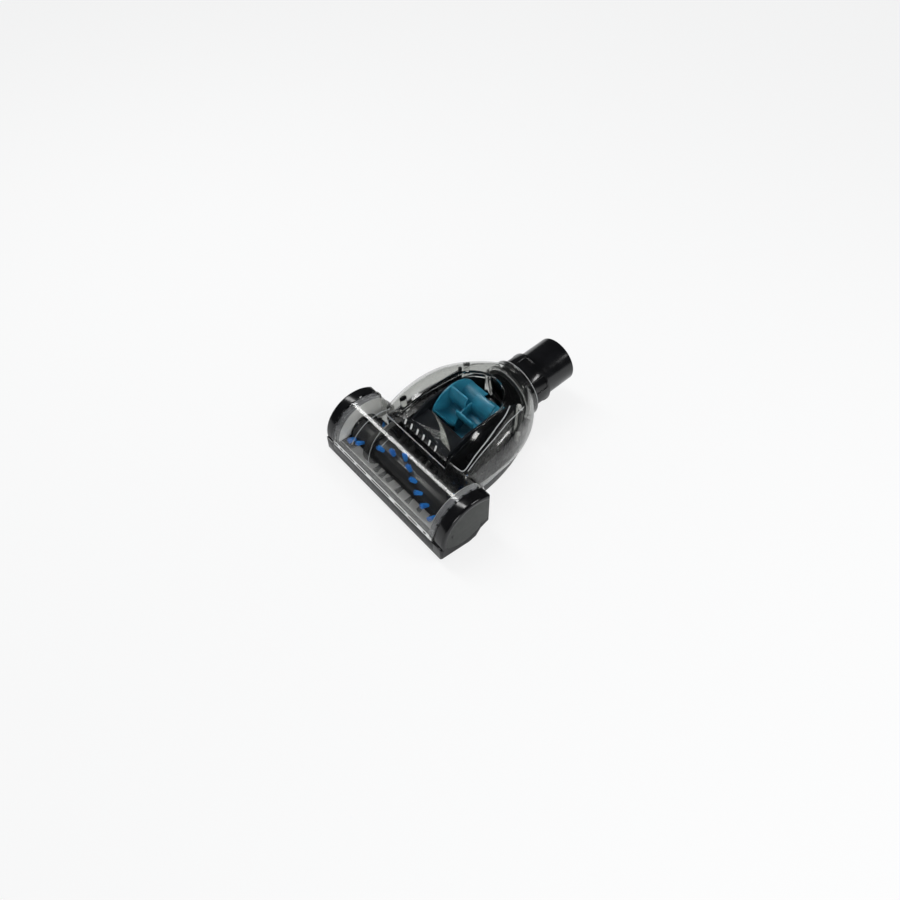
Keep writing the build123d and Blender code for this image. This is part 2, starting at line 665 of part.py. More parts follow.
def turbine_blade(angle, x0, x1):
    root = TURBINE_HUB_RADIUS - 1
    tip = TURBINE_RADIUS - 0.3
    middle = (root + tip) / 2
    t = BLADE_THICKNESS
    front = ThreePointArc((root, 0), (middle, BLADE_SAG), (tip, 0))
    back = ThreePointArc((tip, -t), (middle, BLADE_SAG - t), (root, -t))
    edges = front + Line((tip, 0), (tip, -t)) + back + Line((root, -t), (root, 0))
    blade = Pos(TURBINE_Y, TURBINE_Z) * Rot(0, 0, angle) * make_face(edges)
    return extrude(side_plane(x0) * blade, x1 - x0)


def turbine_wheel():
    w = TURBINE_HALF_WIDTH
    wheel = rod_x(TURBINE_HUB_RADIUS, -w, w, TURBINE_Y, TURBINE_Z)
    wheel += rod_x(TURBINE_RADIUS, -w, -w + TURBINE_DISC, TURBINE_Y, TURBINE_Z)
    wheel += rod_x(RIGHT_DISC_RADIUS, w - TURBINE_DISC, w, TURBINE_Y, TURBINE_Z)
    wheel += rod_x(CENTRE_DISC_RADIUS, -TURBINE_DISC / 2, TURBINE_DISC / 2, TURBINE_Y, TURBINE_Z)
    pitch = 360 / BLADES_PER_ROW
    for index in range(BLADES_PER_ROW):
        angle = LEFT_ROW_ANGLE + index * pitch
        wheel += turbine_blade(angle, -w + TURBINE_DISC / 2, 0.2)
        wheel += turbine_blade(angle + pitch / 2, -0.2, w - TURBINE_DISC / 2)
    return wheel - rod_x(SHAFT_RADIUS + FIT_GAP, -w - 1, w + 1, TURBINE_Y, TURBINE_Z)


def turbine_shaft():
    left = BELT_X - BELT_WIDTH / 2 - WHEEL_OVERHANG
    return rod_x(SHAFT_RADIUS, left, BEARING_BOSS_X - SHAFT_END_GAP, TURBINE_Y, TURBINE_Z)


def turbine_bearing(side):
    x1 = BEARING_BOSS_X - SHAFT_END_GAP
    x0 = x1 - SHAFT_BEARING_WIDTH
    ring = ring_x(SHAFT_BEARING_RADIUS, SHAFT_RADIUS + FIT_GAP, x0, x1, TURBINE_Y, TURBINE_Z)
    return ring if side > 0 else mirrored(ring)


def bearing_mount(side):
    x1 = BEARING_BOSS_X
    ring = ring_x(MOUNT_RADIUS, SHAFT_BEARING_RADIUS + FIT_GAP, x1 - SHAFT_BEARING_WIDTH - SHAFT_END_GAP, x1,
                  TURBINE_Y, TURBINE_Z)
    return ring if side > 0 else mirrored(ring)


DUCT_SIDE = [(70.0, 52.5), (100.0, 55.5), (112.0, 54.0), (125.0, 50.0), (136.0, 42.0)]


def turbine_duct():
    """An open channel under the turbine, with a sloping deck over the nozzle and high side walls."""
    w = DUCT_HALF_WIDTH
    y0 = HEAD_DEPTH + FACE_GAP
    y1 = DUCT_SIDE[-1][0]
    inner = w - DUCT_WALL
    side = outline((y0, BASE_WALL), (y0, CHAMBER_TOP_Z), *DUCT_SIDE, (y1, BASE_WALL))
    duct = extrude(side_plane(-w) * side, 2 * w)
    duct -= box(-inner, inner, y0 + DUCT_WALL, y1 + 1, BASE_WALL + DUCT_FLOOR, REACH_Z)
    deck_top = [(y0, CHAMBER_TOP_Z), (DECK_REAR_Y, DECK_REAR_Z)]
    deck = outline(*deck_top, *[(y, z - DUCT_WALL) for y, z in reversed(deck_top)])
    duct += extrude(side_plane(-inner) * deck, 2 * inner)
    duct -= box(-inner, inner, y0 - 1, y0 + DUCT_WALL, CHAMBER_TOP_Z, REACH_Z)
    duct -= rod_x(TURBINE_RADIUS + TURBINE_AIR, -inner, inner, TURBINE_Y, TURBINE_Z)
    seat = MOUNT_RADIUS + FIT_GAP
    seat_x = BEARING_BOSS_X - SHAFT_BEARING_WIDTH - SHAFT_END_GAP - FACE_GAP
    for sign in (-1, 1):
        x0, x1 = sorted((sign * inner, sign * BEARING_BOSS_X))
        duct += rod_x(seat + DUCT_WALL, x0, x1, TURBINE_Y, TURBINE_Z)
        x0, x1 = sorted((sign * seat_x, sign * 2 * BEARING_BOSS_X))
        duct -= rod_x(seat, x0, x1, TURBINE_Y, TURBINE_Z)
    duct -= rod_x(SHAFT_RADIUS + 1, -2 * w, 2 * w, TURBINE_Y, TURBINE_Z)
    duct -= nozzle_hole()
    duct -= neck_rod(NECK_SEAT_RADIUS + RUN_GAP, -NECK_SEAT_LENGTH - RUN_GAP, 0)
    return duct - heel_wedge(BASE_WALL + RUN_GAP)


def neck_tube():
    tube = neck_rod(NECK_HUB_RADIUS, -NECK_HUB_DEPTH, COLLAR_START - FACE_GAP)
    groove_floor = NECK_HUB_RADIUS - GROOVE_DEPTH
    tube -= neck_ring(NECK_HUB_RADIUS + 1, groove_floor, -GROOVE_START - GROOVE_WIDTH, -GROOVE_START)
    tube += neck_rod(NECK_TUBE_RADIUS, 0, NECK_TUBE_LENGTH)
    tube -= neck_rod(NECK_BORE_RADIUS, -NECK_HUB_DEPTH - 1, NECK_TUBE_LENGTH + 1)
    mouth = tube.faces().sort_by(Axis.Y)[-1].edges()
    return fillet(mouth, NECK_MOUTH_RADIUS)


def neck_collar():
    """A sleeve with raised grip pads round its middle."""
    ring = neck_ring(COLLAR_RADIUS, NECK_TUBE_RADIUS + FIT_GAP, COLLAR_START, COLLAR_START + COLLAR_LENGTH)
    groove = neck_ring(COLLAR_RADIUS + 1, COLLAR_RADIUS - PAD_DEPTH, COLLAR_START + PAD_MARGIN,
                       COLLAR_START + COLLAR_LENGTH - PAD_MARGIN)
    keep = Sketch()
    for index in range(COLLAR_PADS):
        angle = 360 * index / COLLAR_PADS
        keep += Rot(0, 0, angle) * Pos(COLLAR_RADIUS, 0) * Rectangle(COLLAR_RADIUS, PAD_WIDTH)
    pads = extrude(along_neck(COLLAR_START) * keep, COLLAR_LENGTH)
    return ring - (groove - pads)


def neck_seal():
    outer = NECK_HUB_RADIUS - FACE_GAP
    end = -NECK_HUB_DEPTH - FACE_GAP
    return neck_ring(outer, outer - SEAL_WALL, end - SEAL_THICKNESS, end)


def housing_screws():
    screws = []
    for x, y in screw_places():
        head = upright(SCREW_HEAD_RADIUS, x, y, SCREW_SINK, SCREW_SINK + SCREW_HEAD_HEIGHT)
        shank = upright(SCREW_RADIUS, x, y, SCREW_SINK, SPLIT_Z + SCREW_GRIP)
        bar = Pos(x, y, SCREW_SINK) * Box(RECESS_LENGTH, RECESS_WIDTH, SCREW_HEAD_HEIGHT)
        cross_bar = Pos(x, y, SCREW_SINK) * Box(RECESS_WIDTH, RECESS_LENGTH, SCREW_HEAD_HEIGHT)
        screws.append((head + shank - bar - cross_bar).solid())
    return Compound(screws)


BELL_OUTER = bell(0)
BASE_FOOT = bell_foot(0, 0)
BELL_INNER = bell(COVER_WALL)
BELL_CLEAR = bell(COVER_WALL + RUN_GAP)
BELL_SKIRT = bell(WINDOW_SKIRT)

PULLEY_BORE = ROLL_RADIUS + FIT_GAP
PINION_BORE = SHAFT_RADIUS + FIT_GAP

PARTS = {
    "base_housing": base_housing,
    "top_cover": top_cover,
    "turbine_window": turbine_window,
    "left_end_cap": lambda: end_cap(-1),
    "right_end_cap": lambda: end_cap(1),
    "left_cap_face": lambda: cap_face(-1),
    "right_cap_face": lambda: cap_face(1),
    "brush_tube": brush_tube,
    "blue_tufts": lambda: tufts(BLUE_ROW_ANGLE),
    "black_tufts": lambda: tufts(BLACK_ROW_ANGLE),
    "brush_axle": brush_axle,
    "left_brush_bearing": lambda: brush_bearing(-1),
    "right_brush_bearing": lambda: brush_bearing(1),
    "left_bearing_cup": lambda: bearing_cup(-1),
    "right_bearing_cup": lambda: bearing_cup(1),
    "brush_pulley": lambda: toothed_wheel(PULLEY_TEETH, PULLEY_BORE, ROLL_SETBACK, ROLL_Z),
    "drive_belt": drive_belt,
    "belt_cover": belt_cover,
    "turbine_wheel": turbine_wheel,
    "turbine_shaft": turbine_shaft,
    "turbine_pinion": lambda: toothed_wheel(PINION_TEETH, PINION_BORE, TURBINE_Y, TURBINE_Z),
    "left_turbine_bearing": lambda: turbine_bearing(-1),
    "right_turbine_bearing": lambda: turbine_bearing(1),
    "left_bearing_mount": lambda: bearing_mount(-1),
    "right_bearing_mount": lambda: bearing_mount(1),
    "turbine_duct": turbine_duct,
    "neck_tube": neck_tube,
    "neck_collar": neck_collar,
    "neck_seal": neck_seal,
    "housing_screws": housing_screws,
}

os.makedirs("parts", exist_ok=True)
shapes = {name: make() for name, make in PARTS.items()}
tube_end = along_neck(NECK_TUBE_LENGTH)
LENGTH = tube_end.origin.Y + NECK_TUBE_RADIUS * math.sin(math.radians(NECK_TILT))
for name, shape in shapes.items():
    export_step(Pos(0, -LENGTH / 2, 0) * shape, f"parts/{name}.step")
print("length", LENGTH, "centre shift", -LENGTH / 2)
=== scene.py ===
"""Dresses the vacuum turbo brush: clear covers, black mouldings, bristles, turbine, floor and studio light."""
import json
import logging
import math
import random
from dataclasses import dataclass
from enum import Enum

import bpy
from mathutils import Matrix, Vector

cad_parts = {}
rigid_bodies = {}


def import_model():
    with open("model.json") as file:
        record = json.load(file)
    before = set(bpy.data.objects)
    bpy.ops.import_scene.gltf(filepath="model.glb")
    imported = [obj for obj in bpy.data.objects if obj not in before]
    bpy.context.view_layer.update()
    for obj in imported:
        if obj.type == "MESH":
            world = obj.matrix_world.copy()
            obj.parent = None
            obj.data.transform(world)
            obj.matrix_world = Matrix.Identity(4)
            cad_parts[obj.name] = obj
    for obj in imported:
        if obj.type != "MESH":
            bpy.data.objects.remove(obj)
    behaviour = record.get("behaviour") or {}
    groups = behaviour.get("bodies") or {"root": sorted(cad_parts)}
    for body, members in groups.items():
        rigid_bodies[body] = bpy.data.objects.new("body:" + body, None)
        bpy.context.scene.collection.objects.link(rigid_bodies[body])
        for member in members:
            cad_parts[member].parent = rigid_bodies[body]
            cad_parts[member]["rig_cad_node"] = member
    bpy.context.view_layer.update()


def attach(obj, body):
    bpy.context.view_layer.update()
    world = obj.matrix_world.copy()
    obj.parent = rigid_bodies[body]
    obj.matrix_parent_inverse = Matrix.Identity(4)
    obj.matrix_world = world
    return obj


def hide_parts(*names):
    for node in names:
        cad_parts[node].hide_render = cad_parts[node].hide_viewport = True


MM = 0.001
LIP_TO_CENTRE = 101.539
SIDES = (-1, 1)
LOG = logging.getLogger("turbo_brush")

Colour = tuple[float, float, float]
Pair = tuple[float, float]
Spot = tuple[float, float, float]
Socket = bpy.types.NodeSocket
Piece = bpy.types.Object


class Body(Enum):
    """The rigid bodies that pieces ride on."""

    HOUSING = "housing"
    BRUSH = "brush"
    TURBINE = "turbine"
    NECK = "neck"


class NodeTree:
    """A short way to write the node tree of a material or a world."""

    NOISE_RANGE = (0.3, 0.7)
    TINT_RANGE = (0.35, 0.65)
    UNDER_ONE_BOUNCE = 0.5

    def __init__(self, owner: bpy.types.ID, output: str) -> None:
        """Empties the tree of a material or world and adds its output node."""
        owner.use_nodes = True
        self.owner = owner
        self.tree = owner.node_tree
        self.tree.nodes.clear()
        self.output = self.tree.nodes.new(output)

    @classmethod
    def of_material(cls, name: str) -> "NodeTree":
        """Starts the tree of a new material."""
        return cls(bpy.data.materials.new(name), "ShaderNodeOutputMaterial")

    def feed(self, socket: Socket, value: object) -> None:
        """Sets an input, or links it where the value is a source socket."""
        if isinstance(value, bpy.types.NodeSocket):
            self.tree.links.new(value, socket)
        else:
            socket.default_value = value

    def node(self, kind: str, **sockets: object) -> bpy.types.Node:
        """Adds a node and feeds its inputs.

        Args:
            kind: the node's Blender type.
            sockets: input names, with underscores for spaces, and their values or source sockets.

        Returns:
            The new node.
        """
        node = self.tree.nodes.new(kind)
        for key, value in sockets.items():
            self.feed(node.inputs[key.replace("_", " ")], value)
        return node

    def noise(self, scale: float, detail: float = 3.0) -> Socket:
        """Gives a noise pattern on the object's own coordinates, with so many cells to a metre."""
        coordinates = self.node("ShaderNodeTexCoord").outputs["Object"]
        return self.node("ShaderNodeTexNoise", Vector=coordinates, Scale=scale, Detail=detail).outputs["Fac"]

    def spread(self, source: Socket, low: float, high: float) -> Socket:
        """Maps the middle of a noise pattern to the range from low to high."""
        start, end = self.NOISE_RANGE
        node = self.node("ShaderNodeMapRange", Value=source, From_Min=start, From_Max=end, To_Min=low, To_Max=high)
        return node.outputs[0]

    def tint(self, source: Socket, first: Colour, second: Colour) -> Socket:
        """Blends two colours by a pattern, with the first one at its low end."""
        ramp = self.node("ShaderNodeValToRGB", Fac=source)
        for stop, position, colour in zip(ramp.color_ramp.elements, self.TINT_RANGE, (first, second)):
            stop.position = position
            stop.color = (*colour, 1)
        return ramp.outputs["Color"]

    def bump(self, height: Socket, distance: float) -> Socket:
        """Turns a height pattern into a normal, with its depth in metres."""
        return self.node("ShaderNodeBump", Height=height, Strength=1.0, Distance=distance).outputs[0]

    def compute(self, kind: str, first: object, second: object) -> Socket:
        """Adds a Math node of the given kind on two numbers or source sockets."""
        node = self.node("ShaderNodeMath")
        node.operation = kind
        for socket, value in zip(node.inputs, (first, second)):
            self.feed(socket, value)
        return node.outputs[0]

    def blend(self, share: Socket, first: bpy.types.Node, second: bpy.types.Node) -> bpy.types.Node:
        """Mixes two shaders, with the given share of the second one."""
        node = self.node("ShaderNodeMixShader")
        for socket, source in zip(node.inputs, (share, first.outputs[0], second.outputs[0])):
            self.feed(socket, source)
        return node

    def straight_rays(self, through: float = 1.0) -> tuple[Socket, Socket]:
        """Tells the camera's own view, also through clear plastic, from reflections.

        Args:
            through: how strongly a view through clear plastic counts.

        Returns:
            The share for the camera's own view, and the share for reflections.
        """
        path = self.node("ShaderNodeLightPath").outputs
        clear = self.compute("MULTIPLY", path["Is Transmission Ray"], through)
        either = self.compute("MAXIMUM", path["Is Camera Ray"], clear)
        unlit = self.compute("LESS_THAN", path["Diffuse Depth"], self.UNDER_ONE_BOUNCE)
        direct = self.compute("LESS_THAN", path["Glossy Depth"], self.UNDER_ONE_BOUNCE)
        bounced = self.compute("GREATER_THAN", path["Glossy Depth"], self.UNDER_ONE_BOUNCE)
        seen = self.compute("MULTIPLY", self.compute("MULTIPLY", either, unlit), direct)
        return seen, self.compute("MULTIPLY", bounced, unlit)

    def finish(self, shader: bpy.types.Node) -> bpy.types.ID:
        """Links the surface shader to the output and gives back the material or world."""
        self.feed(self.output.inputs["Surface"], shader.outputs[0])
        return self.owner


@dataclass(frozen=True)
class Moulding:
    """Moulded plastic, rubber or metal with fine colour, gloss and grain."""

    name: str
    slot: str
    dark: Colour
    light: Colour
    rough: Pair
    grain: float = 0.00002
    metallic: float = 0.0
    specular: float = 0.5

    COLOUR_NOISE = (60.0, 4.0)
    GLOSS_NOISE = (220.0, 4.0)
    GRAIN_NOISE = (1500.0, 2.0)

    def material(self) -> bpy.types.Material:
        """Builds the material with its node tree."""
        nodes = NodeTree.of_material(self.name)
        colour = nodes.tint(nodes.noise(*self.COLOUR_NOISE), self.dark, self.light)
        rough = nodes.spread(nodes.noise(*self.GLOSS_NOISE), *self.rough)
        normal = nodes.bump(nodes.noise(*self.GRAIN_NOISE), self.grain)
        return nodes.finish(nodes.node("ShaderNodeBsdfPrincipled", Base_Color=colour, Roughness=rough, Normal=normal,
                                       Metallic=self.metallic, Specular_IOR_Level=self.specular))


@dataclass(frozen=True)
class ClearPlastic:
    """Clear moulded plastic that lets the lamps through."""

    name: str
    colour: Colour
    rough: Pair
    shadow: float
    index: float

    slot = "clear_plastic"
    GLOSS_NOISE = (9.0, 0.0)
    WAVE_NOISE = (12.0, 0.0)
    WAVE_DEPTH = 0.000004

    def material(self) -> bpy.types.Material:
        """Builds the material with its node tree."""
        nodes = NodeTree.of_material(self.name)
        rough = nodes.spread(nodes.noise(*self.GLOSS_NOISE), *self.rough)
        normal = nodes.bump(nodes.noise(*self.WAVE_NOISE), self.WAVE_DEPTH)
        glass = nodes.node("ShaderNodeBsdfPrincipled", Base_Color=(*self.colour, 1), Roughness=rough, Normal=normal,
                           Transmission_Weight=1.0, IOR=self.index)
        through = nodes.node("ShaderNodeBsdfTransparent", Color=(self.shadow, self.shadow, self.shadow, 1))
        in_shadow = nodes.node("ShaderNodeLightPath").outputs["Is Shadow Ray"]
        return nodes.finish(nodes.blend(in_shadow, glass, through))


@dataclass(frozen=True)
class MilkyPlasticAndHighlight:
    """The pale, half-clear look used where clear plastic is thick or moulded to an edge; on edges, ridges, slots and
    the streak under the window it is painted highlight, standing in for light that the clear plastic catches there.
    """

    name: str
    colour: Colour
    share: float
    facing: float = 0.6
    grazing: float = 1.4

    slot = "clear_plastic"
    COLOUR_NOISE = 90.0
    GLOSS_NOISE = 200.0
    SHADE = 0.9
    GLOSS = (0.12, 0.22)
    COAT = 0.5
    THROUGH = (0.9, 0.91, 0.92, 1)
    GRAZE_BLEND = 0.35

    def material(self) -> bpy.types.Material:
        """Builds the material with its node tree."""
        nodes = NodeTree.of_material(self.name)
        shade = tuple(self.SHADE * value for value in self.colour)
        colour = nodes.tint(nodes.noise(self.COLOUR_NOISE), self.colour, shade)
        rough = nodes.spread(nodes.noise(self.GLOSS_NOISE), *self.GLOSS)
        body = nodes.node("ShaderNodeBsdfPrincipled", Base_Color=colour, Roughness=rough, Coat_Weight=self.COAT)
        through = nodes.node("ShaderNodeBsdfTransparent", Color=self.THROUGH)
        facing = nodes.node("ShaderNodeLayerWeight", Blend=self.GRAZE_BLEND).outputs["Facing"]
        share = nodes.node("ShaderNodeMapRange", Value=facing, From_Min=0.0, From_Max=1.0,
                           To_Min=self.share * self.facing, To_Max=self.share * self.grazing)
        return nodes.finish(nodes.blend(share.outputs[0], through, body))


Finish = Moulding | ClearPlastic | MilkyPlasticAndHighlight

CLEAR = ClearPlastic("clear_polycarbonate", (0.8, 0.805, 0.785), (0.06, 0.07), 0.9, 1.42)
WINDOW_CLEAR = ClearPlastic("clear_window_plastic", (0.88, 0.885, 0.88), (0.01, 0.02), 0.92, 1.12)
# Pale beads on the cover's ridges and edges: painted highlight lines standing in for light caught along the clear
# plastic's edges.
EDGE_HIGHLIGHT = MilkyPlasticAndHighlight("painted_edge_highlight", (0.8, 0.82, 0.83), 0.75)
HAZE = MilkyPlasticAndHighlight("clear_end_ring", (0.5, 0.5, 0.53), 0.42)
END_GREY = MilkyPlasticAndHighlight("clear_end_wall", (0.85, 0.85, 0.84), 1.3)
# A pale streak of painted reflection, standing in for a soft reflection on the dark deck under the window.
PAINTED_STREAK = MilkyPlasticAndHighlight("air_guide", (0.44, 0.45, 0.4), 0.28, 1.0, 0.8)
# Pale surface for painted highlights: light on the slot walls and along the hood's foot strip.
PAINTED_HIGHLIGHT = MilkyPlasticAndHighlight("painted_highlight", (0.95, 0.95, 0.94), 1.4)
BASE_BLACK = Moulding("satin_black_shell", "base_plastic", (0.004, 0.004, 0.0045), (0.008, 0.008, 0.009),
                      (0.22, 0.34))
DECK_BLACK = Moulding("matt_black_deck", "base_plastic", (0.003, 0.004, 0.006), (0.007, 0.009, 0.012),
                      (0.55, 0.7), specular=0.12)
GLOSS_BLACK = Moulding("gloss_black_shell", "gloss_black", (0.003, 0.003, 0.0035), (0.006, 0.006, 0.007),
                       (0.12, 0.22), grain=0.000006)
FACE_GREY = Moulding("satin_grey_plate", "satin_grey", (0.034, 0.037, 0.034), (0.042, 0.045, 0.042),
                     (0.42, 0.52), grain=0.00003)
MARK_GREY = Moulding("moulded_mark", "gloss_black", (0.004, 0.004, 0.004), (0.007, 0.007, 0.007), (0.4, 0.5))
ROLLER = Moulding("roller_black", "roller_black", (0.012, 0.012, 0.014), (0.02, 0.02, 0.022), (0.38, 0.46))
TEAL = Moulding("teal_moulding", "teal_plastic", (0.01, 0.13, 0.21), (0.022, 0.19, 0.29), (0.28, 0.4))
STEEL = Moulding("ground_steel", "steel", (0.3, 0.3, 0.31), (0.42, 0.42, 0.43), (0.25, 0.4), metallic=1.0)
ZINC = Moulding("zinc_plated_steel", "steel", (0.3, 0.3, 0.3), (0.4, 0.4, 0.4), (0.4, 0.5), metallic=0.15)
BRASS = Moulding("machined_brass", "brass", (0.55, 0.38, 0.14), (0.66, 0.48, 0.2), (0.22, 0.34), metallic=1.0)
RUBBER = Moulding("moulded_rubber", "rubber", (0.012, 0.012, 0.012), (0.024, 0.024, 0.024), (0.6, 0.75))
BLUE_BRISTLE = Moulding("blue_nylon", "blue_bristle", (0.02, 0.2, 0.72), (0.05, 0.38, 0.95), (0.35, 0.5))
BLACK_BRISTLE = Moulding("black_nylon", "black_bristle", (0.008, 0.008, 0.01), (0.02, 0.02, 0.022), (0.35, 0.5))

# CAD nodes that show as they are, by finish.
PLAIN_NODES = {
    STEEL: ("brush_axle", "left_brush_bearing", "right_brush_bearing", "turbine_shaft",
            "left_turbine_bearing", "right_turbine_bearing"),
    RUBBER: ("left_bearing_cup", "right_bearing_cup", "drive_belt", "left_bearing_mount", "right_bearing_mount",
             "neck_seal"),
    ROLLER: ("brush_pulley",),
    BRASS: ("turbine_pinion",),
    ZINC: ("housing_screws",),
}

# Lines on the cover in plan: X and Y in millimetres from the lip.
INNER_RIDGE = [(38.0, 46.2), (42.5, 46.6), (47.1, 48.6), (46.2, 55.0), (44.6, 62.1), (43.3, 72.0), (41.5, 81.0),
               (38.8, 90.0), (36.1, 100.3), (33.2, 107.5), (29.5, 114.0)]
OUTER_RIDGE = [(48.6, 52.0), (47.6, 60.0), (46.4, 70.0), (44.8, 82.0), (43.1, 91.0), (40.6, 100.0),
               (38.2, 113.0), (35.0, 125.0)]
LOW_WALL_LINE = [(-48.2, 50.5), (-47.0, 60.0), (-45.6, 70.0), (-43.6, 80.0), (-40.2, 90.0), (-37.0, 100.0),
                 (-34.0, 112.0)]
REAR_LINE = [(-26.6, 113.5), (-27.0, 118.0), (-26.8, 123.0), (-24.5, 128.0), (-21.0, 131.0)]
LEFT_LINE = [(-42.3, y) for y in (4.5, 8, 13, 19, 26, 33, 40, 45)]
SWEPT_LINE = [(-19.0, 3.5), (-21.5, 7.0), (-24.5, 14.0), (-26.6, 24.0), (-27.7, 33.0)]
SHORT_LINE = [(-15.7, 16.0), (-15.7, 20.0), (-15.7, 24.0)]

# Height of the left inner wall's sloping top, by Y.
LOW_WALL_TOP = [(45.0, 31.8), (113.0, 54.8)]

# The strip along the hood's foot, drawn pale as a painted highlight line: its section in Y and Z, the stations along
# X, and its dark dashes.
STRIP_SECTION = ((0.1, 16.6), (0.55, 17.9), (1.0, 20.1))
STRIP_STATIONS = (-65.0, -32.5, 0.0, 32.5, 65.0)
LEDGE_STATIONS = (-64.0, -30.0, 0.0, 30.0, 64.0)
DASHES = ((-64, -60), (-56, -53), (-51, -36), (-33, -20), (-12, 11), (19, 33), (36, 47), (55, 58))

# The window's half width by Y, the height of its flange and steep face by Y, and the stations of its front.
WINDOW_SIDE = [(38.0, 37.0), (45.0, 33.2), (50.0, 31.4), (66.0, 31.4), (98.8, 27.7)]
WINDOW_FACE = [(38.0, 49.5), (41.6, 49.0), (42.2, 49.05), (42.6, 49.6), (43.0, 50.5), (45.3, 55.9),
               (45.8, 56.8), (46.6, 57.5), (47.6, 58.0), (49.0, 58.45)]
FRONT_STATIONS = (38.0, 38.6, 39.6, 41.0, 41.6, 42.0, 42.2, 42.4, 42.6, 42.8, 43.0, 43.6, 44.2, 44.8, 45.3,
                  45.6, 45.8, 46.2, 46.6, 47.0, 47.6, 48.2, 49.0, 50.0, 52.0)

# The painted reflection streak under the window, pale beads standing in for a soft reflection: its line, its width
# along the line, and its layers' radius and depth.
STREAK_LINE = [(-20.5, 72.2, 45.3), (-15.2, 71.2, 45.2), (-8.2, 69.4, 44.9), (-0.5, 66.6, 44.3),
              (7.2, 62.9, 43.6), (16.0, 58.6, 42.8), (23.0, 56.2, 42.4)]
STREAK_WIDTHS = (0.15, 0.4, 0.65, 0.85, 1.0, 0.95, 0.3)
STREAK_LAYERS = ((5.0, 4.2), (4.0, 3.3), (3.0, 2.2), (2.0, 1.0))

# Blocks of the marks on the caps: lowest Y and Z, then highest Y and Z, from the mark's middle.
LOCK_BLOCKS = ((-1.7, -3.2, 1.7, 0.0), (-1.2, 0.0, -0.7, 2.3), (0.7, 0.0, 1.2, 2.3), (-1.2, 2.2, 1.2, 2.7))
ARROW_BLOCKS = ((-0.35, -3.4, 0.35, 2.2), (-1.7, 1.2, 1.7, 1.8), (-1.3, 1.8, 1.3, 2.4), (-0.9, 2.4, 0.9, 3.0),
                (-0.5, 3.0, 0.5, 3.6))


def place(x: float, y: float, z: float) -> Vector:
    """Turns millimetres from the lip into the shared frame's metres."""
    return Vector((x * MM, (y - LIP_TO_CENTRE) * MM, z * MM))


def from_lip(co: Vector) -> Vector:
    """Turns the shared frame's metres into millimetres from the lip."""
    return Vector((co.x / MM, co.y / MM + LIP_TO_CENTRE, co.z / MM))


def along(line: list[Pair], value: float) -> float:
    """Gives a line's height at a value, from its corners in rising order."""
    for (x0, y0), (x1, y1) in zip(line, line[1:]):
        if value <= x1:
            return y0 + (y1 - y0) * (value - x0) / (x1 - x0)
    return line[-1][1]


